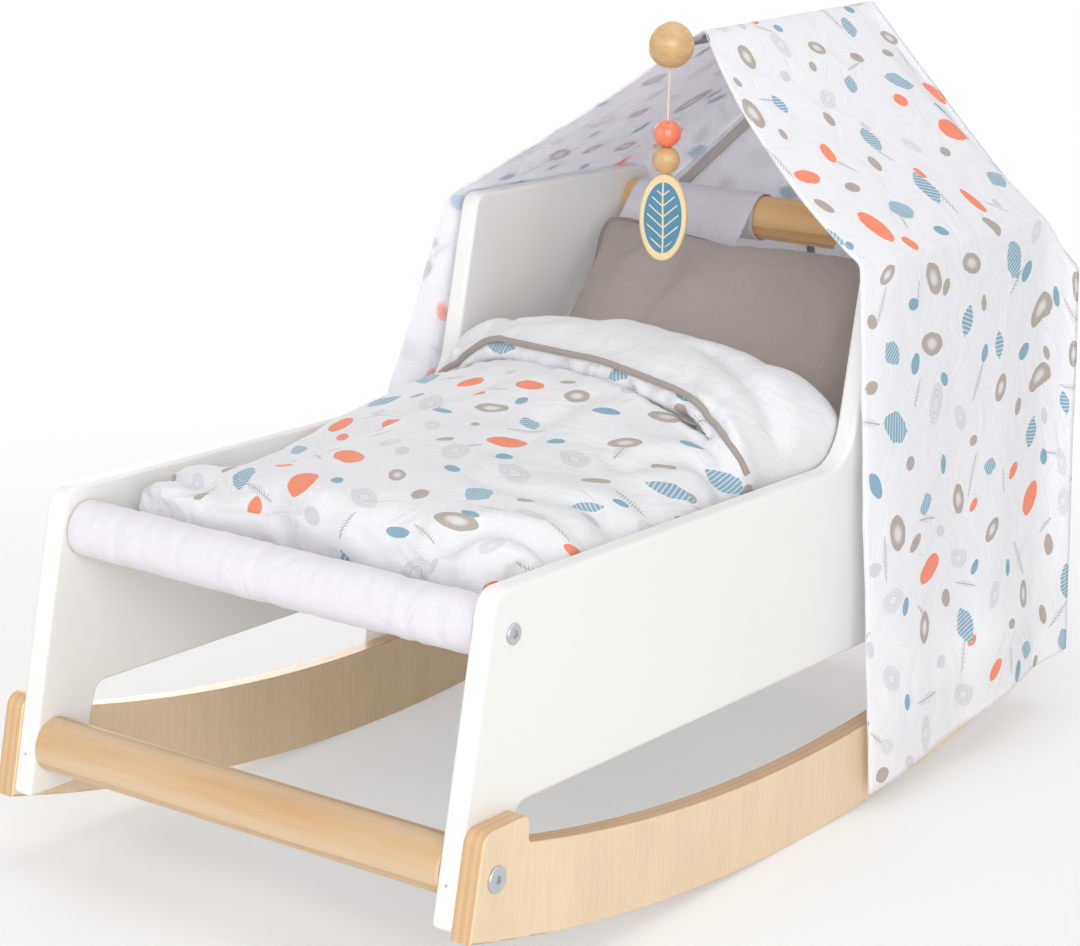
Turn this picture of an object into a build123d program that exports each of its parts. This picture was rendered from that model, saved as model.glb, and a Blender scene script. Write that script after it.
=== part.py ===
from build123d import *
import os
from math import asin, atan2, cos, hypot, radians, sin, sqrt, tan

# Doll cradle on two rockers, with a sling bed, a tent canopy on a steel rod and a hanging mobile.
# Millimetres. Z is up and zero at the floor, Y points to the head end, X to the right hand board.

# Side boards, drawn in the YZ plane
board_thickness = 12.0
width_over_boards = 288.0
half_length = 306.0
leg_foot_rise = 2.3  # underside of the leg over the end of the rocker's floor line
leg_foot_width = 38.5
leg_lean = 10.0  # degrees from upright, both ends
arch_height = 91.5
arch_end_inset = 52.0
low_side_height = 202.0
wing_foot_inset = 256.0
wing_lean = 10.7  # degrees from upright, front edge of the wing
wing_height = 317.0
foot_corner_radius = 12.0
wing_foot_radius = 26.0
wing_top_radius = 9.0
arch_corner_radius = 8.0
leg_foot_radius = 3.0
board_edge_radius = 2.5

# Rockers, bolted to the outer faces of the legs
rocker_thickness = 12.0
rocker_radius = 1229.0
rocker_depth = 48.0
block_step_height = 14.4  # over the top of the rocker beside it
block_length = 45.5
block_front_radius = 8.0
block_inner_radius = 5.0
block_step_radius = 3.0
rocker_edge_radius = 1.5

# Round bars between the boards, each set in from the leaning edge of its leg and the two sling
# bars dropped below the top edge of the board
stretcher_diameter = 29.0
stretcher_rise = 25.5  # over the underside of the legs
stretcher_inset = 14.2
sling_bar_diameter = 27.0
foot_bar_drop = 23.0
foot_bar_inset = 18.2
head_bar_drop = 21.0
head_bar_inset = 21.4
bar_end_chamfer = 1.0

# Connector bolts and the threaded inserts in the bar ends
bolt_diameter = 6.0
bolt_hole_clearance = 0.2
bolt_reach = 26.0  # shank length inside a bar
bolt_tip_chamfer = 0.8
rocker_bolt_head_diameter = 13.5
bar_bolt_head_diameter = 10.5
bolt_head_height = 1.6
bolt_head_edge_radius = 0.6
hex_socket_across = 4.0
hex_socket_depth = 1.2
insert_diameter = 9.5
insert_length = 15.0
insert_flange_diameter = 12.0
insert_flange_thickness = 1.2
fit_clearance = 0.05
bolt_tip_room = 2.0

# Panel pins that lock the foot stretcher, seen in the front edge of the front legs
leg_pin_diameter = 1.6
leg_pin_length = 12.0
leg_pin_rise = 22.0

# Canopy rod: an inclined post through the head bar with a ridge rod welded across its top
rod_diameter = 5.0
rod_bore_clearance = 0.1
post_socket_depth = 20.0
rod_end_chamfer = 0.5
ball_inset = 233.2
ball_height = 418.2
ball_diameter = 26.5
ball_socket_depth = 15.0
ridge_rear_inset = 11.0
ridge_rise = 7.0

# Canopy cloth, hung over the ridge rod and the top corners of the wings
cloth_thickness = 1.5
soft_gap = 0.3
wing_seat_gap = 0.9
tunnel_thickness = 0.8
tunnel_gap = 0.1
tunnel_set_back = 5.0
post_slit_side_gap = 1.5
canopy_rear_inset = 6.0
canopy_length = 300.0
eave_overhang = 3.5  # past the outer face of the board
eave_radius = 7.0
rear_eave_overhang = 11.5
rear_eave_drop = 36.0
hem_overhang = 5.0  # past the outer face of the rocker
hem_flare = 6.0
hem_height = 8.0
hem_rise = 33.0
# The cut of the front edge: length of the cloth from its rear edge, and heights over the wings
ridge_cloth_length = 192.0
roof_edge_rise = 5.8
right_roof_mid_length = 235.0
right_roof_mid_share = 0.5632
right_eave_length = 258.0
right_eave_rise = 4.0
right_hem_length = 240.0
left_roof_mid_length = 212.0
left_roof_mid_share = 0.504
left_eave_length = 238.0
left_eave_drop = 1.0
left_drop_length = 283.0
left_drop_rise = 2.0
left_hem_length = 290.0
# One row for each station from front to back: its place along the canopy, how far the eave has
# left the wing for its rear place, and how far the right and the left hem stand out in a fold,
# and how far the hem has risen.
canopy_station_shares = [
    (0.000, 0.00, 0.50, 0.75, 0.00),
    (0.100, 0.00, 0.30, 0.50, 0.00),
    (0.200, 0.00, 0.50, 0.25, 0.06),
    (0.300, 0.00, 0.85, 0.50, 0.16),
    (0.400, 0.00, 0.50, 0.80, 0.26),
    (0.500, 0.00, 0.20, 0.50, 0.37),
    (0.600, 0.00, 0.50, 0.25, 0.49),
    (0.700, 0.00, 0.80, 0.50, 0.61),
    (0.780, 0.00, 0.60, 0.75, 0.72),
    (0.855, 0.00, 0.40, 0.60, 0.82),
    (0.890, 0.08, 0.50, 0.65, 0.87),
    (0.922, 0.38, 0.72, 0.80, 0.91),
    (0.960, 0.80, 0.95, 0.95, 0.96),
    (1.000, 1.00, 1.00, 1.00, 1.00),
]
gable_place_share = 0.960

# Gable cloth and the binding of its seam
gable_hem_drop = 121.0  # below the head bar
gable_thickness = 1.5
binding_width = 8.0
binding_thickness = 1.0
binding_top_drop = 16.0
binding_foot_rise = 19.0  # over the rear eaves

# Mobile under the ball
knot_diameter = 3.6
knot_recess_depth = 2.4
knot_gap = 0.3
mouth_depth = 7.2
mouth_slope = 55.0  # degrees from the string, which swings both ways
string_diameter = 1.6
string_bore_clearance = 0.25
bead_diameter = 16.0
bead_end_flat = 0.5
string_showing_share = 0.3123  # of the free height over the duvet
bead_gap = 0.3
medallion_height = 50.5
medallion_width = 27.5
medallion_thickness = 6.0
medallion_edge_radius = 1.4
medallion_turn = 24.0  # degrees about the string
medallion_socket_depth = 8.0

# Sling bed, one cloth with a sleeve for the foot bar and two loops for the head bar
sling_thickness = 1.5
sling_side_gap = 1.0
head_loop_side_gap = 5.0
sleeve_gap = 0.15
sling_foot_drop = 5.0  # where the sheet leaves the sleeve, below the bar centre
sling_low_inset = 246.0  # from the foot end
sling_sag = 29.0
sling_bend_inset = 214.0  # from the head end
sling_low_radius = 260.0
sling_bend_radius = 60.0
notch_half_width = 35.0
notch_depth = 62.0  # below the head bar centre
notch_corner_radius = 12.0

# Pillow, leaning on the head slope of the sling
pillow_side_gap = 18.0
pillow_length = 156.0
pillow_start = 14.0
pillow_thickness = 40.0
pillow_seam_thickness = 3.5
pillow_sink = 4.0
# Place along the pillow, half width and thickness
pillow_station_shares = [
    (0.00, 0.93, 0.10),
    (0.07, 1.00, 0.46),
    (0.24, 0.985, 0.84),
    (0.50, 0.97, 1.00),
    (0.76, 0.985, 0.84),
    (0.93, 1.00, 0.46),
    (1.00, 0.93, 0.10),
]

# Duvet, crowned across the bed, its head end folded down as a flap
duvet_front_inset = 63.0
duvet_rear_gap = 13.0  # before the bend of the sling
duvet_side_gap = 2.0
duvet_side_height = 46.0  # over the lowest line of the sling
duvet_crown = 78.0
duvet_base_drop = 12.0
# Place along the duvet, half width, height of the side, width and height of the shoulder, crown
duvet_station_shares = [
    (0.00, 0.84, 0.80, 0.62, 0.56, 0.60),
    (0.04, 0.95, 0.90, 0.66, 0.70, 0.76),
    (0.15, 0.99, 0.92, 0.70, 0.79, 0.86),
    (0.38, 1.00, 0.92, 0.72, 0.81, 0.92),
    (0.62, 1.00, 1.00, 0.72, 0.85, 0.96),
    (0.80, 1.00, 1.05, 0.72, 0.88, 1.00),
    (0.93, 0.99, 1.00, 0.70, 0.84, 0.92),
    (1.00, 0.90, 0.70, 0.62, 0.46, 0.50),
]
flap_length = 86.0
flap_skew = 10.0  # degrees, the folded end lies askew on the bed
flap_crown = 108.0
flap_base_height = 30.0
flap_side_height = 52.0
# Place along the flap, half width, height of the side, width and height of the shoulder, crown
flap_station_shares = [
    (0.00, 0.99, 1.00, 0.65, 0.865, 0.935),
    (0.40, 1.00, 1.26, 0.66, 0.905, 0.980),
    (0.72, 1.00, 1.46, 0.68, 0.895, 1.000),
    (0.90, 0.98, 1.20, 0.66, 0.800, 0.900),
    (1.00, 0.92, 0.85, 0.62, 0.600, 0.680),
]
shoulder_bulge_share = 0.16
piping_diameter = 3.4

# Allowance by which every cutter passes the face that it opens
overrun = 1.0

# Places that follow from the sizes above
inner_x = width_over_boards / 2 - board_thickness
outer_x = width_over_boards / 2
rocker_x = outer_x + rocker_thickness
arch_half_length = half_length - arch_end_inset
wing_foot_y = half_length - wing_foot_inset
block_inner_y = half_length - block_length
rocker_end_z = rocker_radius - sqrt(rocker_radius ** 2 - half_length ** 2)
leg_underside = rocker_end_z + leg_foot_rise
stretcher_height = leg_underside + stretcher_rise
leg_pin_height = leg_underside + leg_pin_rise
foot_bar_height = low_side_height - foot_bar_drop
head_bar_height = wing_height - head_bar_drop
rod_radius = rod_diameter / 2
rod_bore = rod_diameter + 2 * rod_bore_clearance
bolt_bore = bolt_diameter + 2 * bolt_hole_clearance


def leg_edge_y(height):
    """Distance of a leg's leaning outer edge from the middle of the cradle."""
    return half_length - (height - leg_underside) * tan(radians(leg_lean))


stretcher_y = leg_edge_y(stretcher_height) - stretcher_inset
foot_bar_y = -(leg_edge_y(foot_bar_height) - foot_bar_inset)
head_bar_y = leg_edge_y(head_bar_height) - head_bar_inset
post_lean = atan2(stretcher_y - head_bar_y, head_bar_height - stretcher_height)
post_up = Vector(0, -sin(post_lean), cos(post_lean))
ball_y = half_length - ball_inset
ridge_rear_y = half_length - ridge_rear_inset
ridge_slope = ridge_rise / (ridge_rear_y - ball_y)
ball_centre = Vector(0, ball_y, ball_height)
head_bar_centre = Vector(0, head_bar_y, head_bar_height)

canopy_rear_y = half_length - canopy_rear_inset
eave_x = outer_x + eave_overhang
rear_eave_x = outer_x + rear_eave_overhang
rear_eave_height = wing_height - rear_eave_drop
hem_x = rocker_x + hem_overhang
roof_rise = ball_height - wing_height
roof_edge_height = ball_height + roof_edge_rise
ridge_front_y = canopy_rear_y - ridge_cloth_length

sling_low_y = sling_low_inset - half_length
sling_low_height = foot_bar_height - sling_sag
sling_bend_y = half_length - sling_bend_inset
sling_half_width = inner_x - sling_side_gap
pillow_half_width = inner_x - pillow_side_gap
duvet_front_y = duvet_front_inset - half_length
duvet_rear_y = sling_bend_y - duvet_rear_gap
duvet_half_width = inner_x - duvet_side_gap
flap_front_y = duvet_rear_y - flap_length

mobile_room = ball_height - ball_diameter / 2 - sling_low_height - duvet_crown
string_showing = string_showing_share * (mobile_room - 2 * bead_diameter - medallion_height)


def ridge_height(y):
    """Height of the ridge rod's centre line."""
    return ball_height + (y - ball_y) * ridge_slope


def side_face(outline):
    """Face in the YZ plane from a closed outline of (y, z)."""
    return Plane.YZ * make_face(outline)


def thick_plate(face, x_from, x_to):
    """Plate between two X planes with the given YZ outline."""
    return Pos(x_from, 0, 0) * extrude(face, amount=x_to - x_from, dir=(1, 0, 0))


def along_x(diameter, x_from, x_to, y, z):
    """Round bar or hole along X."""
    length = x_to - x_from
    bar = Cylinder(diameter / 2, length, rotation=(0, 90, 0))
    return Pos((x_from + x_to) / 2, y, z) * bar


def rod_between(start, end, diameter):
    """Round rod from one point to another."""
    run = end - start
    place = Plane(origin=start, z_dir=run)
    return place * Cylinder(diameter / 2, run.length, align=(Align.CENTER, Align.CENTER, Align.MIN))


def shifted_corners(points, distance):
    """Corners of an open path moved sideways by a distance, to the left of its direction."""
    moved = []
    angles = [atan2(d - b, c - a) for (a, b), (c, d) in zip(points, points[1:])]
    for (u, v), a, b in zip(points, [angles[0], *angles], [*angles, angles[-1]]):
        middle = (a + b) / 2
        reach = distance / cos((b - a) / 2)
        moved.append((u - reach * sin(middle), v + reach * cos(middle)))
    return moved


def turn_signs(points):
    """Plus one for each inner corner of a path that turns left, minus one for a right turn."""
    signs = []
    for (a, b), (c, d), (e, f) in zip(points, points[1:], points[2:]):
        cross = (c - a) * (f - d) - (d - b) * (e - c)
        signs.append(1 if cross > 0 else -1)
    return signs


def band(points, radii, thickness):
    """Closed outline of a cloth of even thickness that follows a path with rounded corners."""
    sides = []
    for distance in (thickness / 2, -thickness / 2):
        rounded = [r - s * distance for r, s in zip(radii, turn_signs(points))]
        sides.append(FilletPolyline(*shifted_corners(points, distance), radius=rounded))
    left, right = sides
    caps = [Line(left @ 0, right @ 0), Line(left @ 1, right @ 1)]
    return Wire(left.edges() + right.edges() + [c.edge() for c in caps])


def side_board(side):
    """White painted side board with two legs, an arch, a low side and a wing, bored for bolts."""
    wing_run = (wing_height - low_side_height) * tan(radians(wing_lean))
    corners = [
        (-half_length, leg_underside, leg_foot_radius),
        (-leg_edge_y(low_side_height), low_side_height, foot_corner_radius),
        (wing_foot_y, low_side_height, wing_foot_radius),
        (wing_foot_y + wing_run, wing_height, wing_top_radius),
        (leg_edge_y(wing_height), wing_height, wing_top_radius),
        (half_length, leg_underside, leg_foot_radius),
        (half_length - leg_foot_width, leg_underside, leg_foot_radius),
        (arch_half_length, arch_height, arch_corner_radius),
        (-arch_half_length, arch_height, arch_corner_radius),
        (-half_length + leg_foot_width, leg_underside, leg_foot_radius),
    ]
    places = [(y, z) for y, z, r in corners]
    outline = FilletPolyline(*places, radius=[r for y, z, r in corners], close=True)
    x_low = min(side * inner_x, side * outer_x)
    board = thick_plate(side_face(outline), x_low, x_low + board_thickness)
    board = fillet(board.faces().filter_by(Axis.X).edges(), board_edge_radius)
    for y, z in bolt_places():
        board -= along_x(bolt_bore, x_low - overrun, x_low + board_thickness + overrun, y, z)
    pin_y = -leg_edge_y(leg_pin_height)
    pin_x = side * (inner_x + outer_x) / 2
    hole_end = Vector(pin_x, pin_y + leg_pin_length, leg_pin_height)
    hole_start = Vector(pin_x, pin_y - overrun, leg_pin_height)
    hole = rod_between(hole_start, hole_end, leg_pin_diameter + 2 * fit_clearance)
    return board - hole


def bolt_places():
    """Side view places of the four bolts in a board: two stretchers, foot bar and head bar."""
    return [
        (-stretcher_y, stretcher_height),
        (stretcher_y, stretcher_height),
        (foot_bar_y, foot_bar_height),
        (head_bar_y, head_bar_height),
    ]


def rocker(side):
    """Plywood rocker: one arc for the floor, one for the top, and a raised block on each leg."""
    end_y = leg_edge_y(rocker_end_z)
    end_z = rocker_radius - sqrt(rocker_radius ** 2 - end_y ** 2)
    top_radius = rocker_radius - rocker_depth
    step_z = rocker_radius - sqrt(top_radius ** 2 - block_inner_y ** 2)
    block_top = step_z + block_step_height
    block_y = leg_edge_y(block_top)
    head_block = [(end_y, end_z), (block_y, block_top), (block_inner_y, block_top), (block_inner_y, step_z)]
    foot_block = [(-y, z) for y, z in reversed(head_block)]
    outline = [
        ThreePointArc(foot_block[-1], (0, 0), head_block[0]),
        Polyline(*head_block),
        ThreePointArc(head_block[-1], (0, rocker_depth), foot_block[0]),
        Polyline(*foot_block),
    ]
    face = make_face([edge for line in outline for edge in line.edges()])
    for corner in face.vertices():
        at_block_end = abs(abs(corner.X) - block_y) < fit_clearance
        at_block_inside = abs(abs(corner.X) - block_inner_y) < fit_clearance
        if at_block_end:
            face = fillet(nearest_vertex(face, corner), block_front_radius)
        elif at_block_inside and corner.Y > step_z + fit_clearance:
            face = fillet(nearest_vertex(face, corner), block_inner_radius)
        elif at_block_inside:
            face = fillet(nearest_vertex(face, corner), block_step_radius)
    x_low = min(side * outer_x, side * rocker_x)
    plate = thick_plate(Plane.YZ * face, x_low, x_low + rocker_thickness)
    plate = fillet(plate.faces().filter_by(Axis.X).edges(), rocker_edge_radius)
    for y in (-stretcher_y, stretcher_y):
        plate -= along_x(bolt_bore, x_low - overrun, x_low + rocker_thickness + overrun, y, stretcher_height)
    return plate


def nearest_vertex(shape, place):
    """The corner of a shape that lies at a known place."""
    return shape.vertices().sort_by_distance(place)[0]


def round_bar(diameter, y, z):
    """Turned bar between the boards, with an insert bore in each end."""
    bar = along_x(diameter, -inner_x, inner_x, y, z)
    bar = chamfer(bar.edges(), bar_end_chamfer)
    bores = [
        (bolt_bore, bolt_reach + bolt_tip_room),
        (insert_diameter + 2 * fit_clearance, insert_length + fit_clearance),
        (insert_flange_diameter + 2 * fit_clearance, insert_flange_thickness + fit_clearance),
    ]
    for side in (-1, 1):
        for bore, depth in bores:
            bar -= along_between(bore, side * (inner_x - depth), side * (inner_x + overrun), y, z)
    return bar


def along_between(diameter, x_a, x_b, y, z):
    """Round bar or hole along X, its ends given in either order."""
    return along_x(diameter, min(x_a, x_b), max(x_a, x_b), y, z)


def insert(side, y, z):
    """Threaded insert with its flange flush with the end of the bar."""
    sleeve = along_between(insert_diameter, side * (inner_x - insert_length), side * inner_x, y, z)
    flange_x = side * (inner_x - insert_flange_thickness)
    sleeve += along_between(insert_flange_diameter, flange_x, side * inner_x, y, z)
    bore_x = side * (inner_x - insert_length - overrun)
    return sleeve - along_between(bolt_bore, bore_x, side * (inner_x + overrun), y, z)


def connector_bolt(side, y, z, head_diameter, seat_x):
    """Flat headed bolt with a hex socket, from the seat of its head into a bar."""
    tip_x = inner_x - bolt_reach
    shank = along_between(bolt_diameter, side * tip_x, side * seat_x, y, z)
    tip = shank.edges().sort_by(Axis.X)[0 if side > 0 else -1]
    shank = chamfer(tip, bolt_tip_chamfer)
    head = along_between(head_diameter, side * seat_x, side * (seat_x + bolt_head_height), y, z)
    rim = head.edges().sort_by(Axis.X)[-1 if side > 0 else 0]
    head = fillet(rim, bolt_head_edge_radius)
    socket = RegularPolygon(hex_socket_across / 2, 6, major_radius=False)
    face_x = side * (seat_x + bolt_head_height)
    place = Plane(origin=(face_x, y, z), z_dir=(side, 0, 0))
    return shank + head - extrude(place * socket, amount=-hex_socket_depth)


def leg_pin(side):
    """Thin pin driven into the front edge of a front leg."""
    x = side * (inner_x + outer_x) / 2
    y = -leg_edge_y(leg_pin_height)
    tip = Vector(x, y + leg_pin_length, leg_pin_height)
    return rod_between(Vector(x, y, leg_pin_height), tip, leg_pin_diameter)


def post_bore():
    """Cutter for the post: through the head bar and down into the head stretcher."""
    stretcher_top = Vector(0, stretcher_y, stretcher_height) + post_up * (stretcher_diameter / 2)
    start = stretcher_top - post_up * post_socket_depth
    end = head_bar_centre + post_up * sling_bar_diameter
    return rod_between(start, end, rod_bore)


def canopy_rod():
    """Steel post and the ridge rod welded across its top."""
    stretcher_top = Vector(0, stretcher_y, stretcher_height) + post_up * (stretcher_diameter / 2)
    foot = stretcher_top - post_up * (post_socket_depth - rod_bore_clearance)
    rise = ridge_height(head_bar_y) - head_bar_height
    length = rise / (post_up.Z - ridge_slope * post_up.Y)
    top = head_bar_centre + post_up * length
    front_y = ball_y + ball_diameter / 2 - ball_socket_depth + rod_bore_clearance
    front = Vector(0, front_y, ridge_height(front_y))
    rear = Vector(0, ridge_rear_y, ridge_height(ridge_rear_y))
    post = rod_between(foot, top, rod_diameter)
    post = chamfer(post.edges().filter_by(GeomType.CIRCLE).sort_by(Axis.Z)[0], rod_end_chamfer)
    ridge = rod_between(front, rear, rod_diameter)
    ridge = chamfer(ridge.edges().filter_by(GeomType.CIRCLE), rod_end_chamfer)
    return post + ridge


def ball():
    """Beech ball on the front end of the ridge rod, with a recess below for the string's knot."""
    body = Pos(*ball_centre) * Sphere(ball_diameter / 2)
    rear = Vector(0, ball_y + ball_diameter, ridge_height(ball_y + ball_diameter))
    floor_y = ball_y + ball_diameter / 2 - ball_socket_depth
    socket = rod_between(Vector(0, floor_y, ridge_height(floor_y)), rear, rod_bore)
    recess = Pos(*knot_centre()) * Sphere(knot_diameter / 2 + knot_gap)
    mouth_reach = knot_diameter / 2 + mouth_depth * tan(radians(mouth_slope))
    mouth = Pos(*knot_centre()) * Cone(
        knot_diameter / 2, mouth_reach, mouth_depth, rotation=(180, 0, 0),
        align=(Align.CENTER, Align.CENTER, Align.MIN),
    )
    return body - socket - recess - mouth


def knot_centre():
    """The point that the mobile swings about."""
    return ball_centre - Vector(0, 0, ball_diameter / 2 - knot_recess_depth)


def station_y(place):
    """Where a station of the cloth stands along the cradle."""
    return canopy_rear_y - (1 - place) * canopy_length


def canopy_section(station):
    """Cross outline of the cloth at one station: hem, drop, eave, roof and ridge, both sides."""
    place, rear, fold_right, fold_left, rise = station
    y = station_y(place)
    ridge_z = ridge_height(y)
    ridge_turn = rod_radius + tunnel_gap + tunnel_thickness + tunnel_gap + cloth_thickness / 2
    corner_turn = board_edge_radius + wing_seat_gap + cloth_thickness / 2
    corner_x = outer_x - board_edge_radius
    corner_z = wing_height - board_edge_radius
    span = hypot(corner_x, ridge_z - corner_z)
    pitch = atan2(ridge_z - corner_z, corner_x) + asin((ridge_turn - corner_turn) / span)
    wing_eave_z = corner_z + (corner_turn - (eave_x - corner_x) * sin(pitch)) / cos(pitch)
    x = eave_x + rear * (rear_eave_x - eave_x)
    z = wing_eave_z + rear * (rear_eave_height - wing_eave_z)
    pitch = atan2(ridge_z - z, x) + asin(ridge_turn / hypot(x, ridge_z - z))
    apex_z = ridge_z + ridge_turn / cos(pitch)
    hem_z = hem_height + rise * hem_rise
    points = [
        (hem_x + fold_right * hem_flare, hem_z),
        (x, z),
        (0, apex_z),
        (-x, z),
        (-hem_x - fold_left * hem_flare, hem_z),
    ]
    outline = band(points, [eave_radius, ridge_turn, eave_radius], cloth_thickness)
    return Plane(origin=(0, y, 0), x_dir=(1, 0, 0), z_dir=(0, -1, 0)) * Face(outline)


def front_cutter(side, roof_mid, eave, drop_points):
    """Everything in front of the cut front edge of one half of the canopy."""
    roof_edge = ThreePointArc((ridge_front_y, roof_edge_height), roof_mid, eave)
    far_y = canopy_rear_y - 2 * canopy_length
    top = 2 * roof_edge_height
    rest = Polyline(eave, *drop_points, (far_y, -overrun), (far_y, top), (ridge_front_y, top),
                    (ridge_front_y, roof_edge_height))
    face = side_face(roof_edge.edges() + rest.edges())
    far_x = side * 2 * hem_x
    return thick_plate(face, min(0, far_x), max(0, far_x))


def canopy_cloth():
    """Tent cloth over the ridge rod, with loose folds in both hanging sides."""
    cloth = loft([canopy_section(row) for row in canopy_station_shares])
    right_mid = (canopy_rear_y - right_roof_mid_length, wing_height + right_roof_mid_share * roof_rise)
    right_eave = (canopy_rear_y - right_eave_length, wing_height + right_eave_rise)
    right_hem = (canopy_rear_y - right_hem_length, -overrun)
    left_mid = (canopy_rear_y - left_roof_mid_length, wing_height + left_roof_mid_share * roof_rise)
    left_eave = (canopy_rear_y - left_eave_length, wing_height - left_eave_drop)
    left_drop = (canopy_rear_y - left_drop_length, low_side_height + left_drop_rise)
    left_hem = (canopy_rear_y - left_hem_length, -overrun)
    cloth -= front_cutter(1, right_mid, right_eave, [right_hem])
    return cloth - front_cutter(-1, left_mid, left_eave, [left_drop, left_hem])


def ridge_tunnel():
    """Sewn tunnel that holds the cloth on the ridge rod, in two lengths with a gap for the post."""
    front_y = ridge_front_y + tunnel_set_back
    rear_y = ridge_rear_y - tunnel_set_back
    start = Vector(0, front_y, ridge_height(front_y))
    end = Vector(0, rear_y, ridge_height(rear_y))
    inner = rod_diameter + 2 * tunnel_gap
    tunnel = rod_between(start, end, inner + 2 * tunnel_thickness) - rod_between(start, end, inner)
    above = head_bar_centre + post_up * ball_height
    slit = rod_between(head_bar_centre, above, rod_diameter + 2 * post_slit_side_gap)
    return (tunnel - slit).solids()


def gable_outline(margin):
    """Inner line of the roof at the gable, drawn in by a margin: eave corners and apex."""
    station = next(row for row in canopy_station_shares if row[0] == gable_place_share)
    place, rear, fold_right, fold_left, rise = station
    y = station_y(place)
    ridge_z = ridge_height(y)
    x = eave_x + rear * (rear_eave_x - eave_x)
    z = rear_eave_height + (1 - rear) * (wing_height - rear_eave_height)
    return y, ridge_z, x - margin, z - margin


def canopy_gable():
    """Back cloth of the tent, from the ridge down behind the head end."""
    margin = cloth_thickness
    y, ridge_z, x, z = gable_outline(margin)
    apex = ridge_z - rod_radius - tunnel_thickness - 2 * tunnel_gap
    top_half = rod_diameter
    hem = head_bar_height - gable_hem_drop
    outline = Polyline(
        (-x, hem), (-x, z - eave_radius), (-x + eave_radius, z),
        (-top_half, apex), (top_half, apex), (x - eave_radius, z), (x, z - eave_radius),
        (x, hem), close=True,
    )
    plane = Plane(origin=(0, y, 0), x_dir=(1, 0, 0), z_dir=(0, -1, 0))
    return extrude(plane * make_face(outline), amount=gable_thickness)


def seam_bindings():
    """Taupe binding of the two roof seams, on the inner face of the gable."""
    margin = cloth_thickness
    y, ridge_z, x, z = gable_outline(margin)
    apex = ridge_z - rod_radius - tunnel_thickness - 2 * tunnel_gap
    strips = []
    for side in (-1, 1):
        head = Vector(side * rod_diameter, apex)
        foot = Vector(side * (x - eave_radius), z)
        run = (foot - head).normalized()
        inward = Vector(-side * abs(run.Y), -abs(run.X))
        a = head + run * binding_top_drop
        share = (head.Y - rear_eave_height - binding_foot_rise) / (head.Y - foot.Y)
        b = head + (foot - head) * share
        corners = [a, b, b + inward * binding_width, a + inward * binding_width]
        outline = Polyline(*[(c.X, c.Y) for c in corners], close=True)
        plane = Plane(origin=(0, y - gable_thickness, 0), x_dir=(1, 0, 0), z_dir=(0, -1, 0))
        strips.append(extrude(plane * make_face(outline), amount=binding_thickness))
    return strips


def string_knot():
    """Knot at the top of the string, held in the recess of the ball."""
    return Pos(*knot_centre()) * Sphere(knot_diameter / 2)


def mobile_heights():
    """Heights of the string's top, the two bead centres and the top of the medallion."""
    string_top = knot_centre().Z - knot_diameter / 2 - soft_gap
    first = ball_height - ball_diameter / 2 - string_showing - bead_diameter / 2 + bead_end_flat
    second = first - bead_diameter + 2 * bead_end_flat - bead_gap
    medallion_top = second - bead_diameter / 2 + bead_end_flat - bead_gap
    return string_top, first, second, medallion_top


def mobile_string():
    """String from the knot through both beads into the top of the medallion."""
    string_top, first, second, medallion_top = mobile_heights()
    end = medallion_top - medallion_socket_depth + string_bore_clearance
    return rod_between(Vector(0, ball_y, end), Vector(0, ball_y, string_top), string_diameter)


def bead(height):
    """Turned bead, flattened at both ends and bored for the string."""
    body = Sphere(bead_diameter / 2)
    keep = Box(bead_diameter, bead_diameter, bead_diameter - 2 * bead_end_flat)
    bore = Cylinder(string_diameter / 2 + string_bore_clearance, bead_diameter)
    return Pos(0, ball_y, height) * ((body & keep) - bore)


def leaf_medallion():
    """Oval wooden disc that hangs on edge below the beads, drilled from the top."""
    string_top, first, second, medallion_top = mobile_heights()
    centre_z = medallion_top - medallion_height / 2
    face = Plane.XZ * Ellipse(medallion_width / 2, medallion_height / 2)
    disc = extrude(face, amount=medallion_thickness / 2, both=True)
    disc = fillet(disc.edges().filter_by(GeomType.ELLIPSE), medallion_edge_radius)
    hole = Pos(0, 0, medallion_height / 2) * Cylinder(
        string_diameter / 2 + string_bore_clearance, 2 * medallion_socket_depth
    )
    return Pos(0, ball_y, centre_z) * Rot(0, 0, medallion_turn) * (disc - hole)


def sling_path():
    """Side view path of the sling's middle surface, from the foot sleeve to the head loops."""
    ring = sling_bar_diameter / 2 + sleeve_gap + sling_thickness / 2
    foot = (foot_bar_y + sqrt(ring ** 2 - sling_foot_drop ** 2), foot_bar_height - sling_foot_drop)
    bend = (sling_bend_y, sling_low_height)
    away = Vector(head_bar_y - bend[0], head_bar_height - bend[1])
    slope = atan2(away.Y, away.X) + asin(ring / away.length)
    reach = sqrt(away.length ** 2 - ring ** 2)
    head = (bend[0] + reach * cos(slope), bend[1] + reach * sin(slope))
    return [foot, (sling_low_y, sling_low_height), bend, head], slope


def bar_ring(y, z, half_width):
    """Ring of cloth around a sling bar."""
    inner = sling_bar_diameter + 2 * sleeve_gap
    outer = inner + 2 * sling_thickness
    ring = along_x(outer, -half_width, half_width, y, z)
    return ring - along_x(inner, -half_width - overrun, half_width + overrun, y, z)


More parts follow.
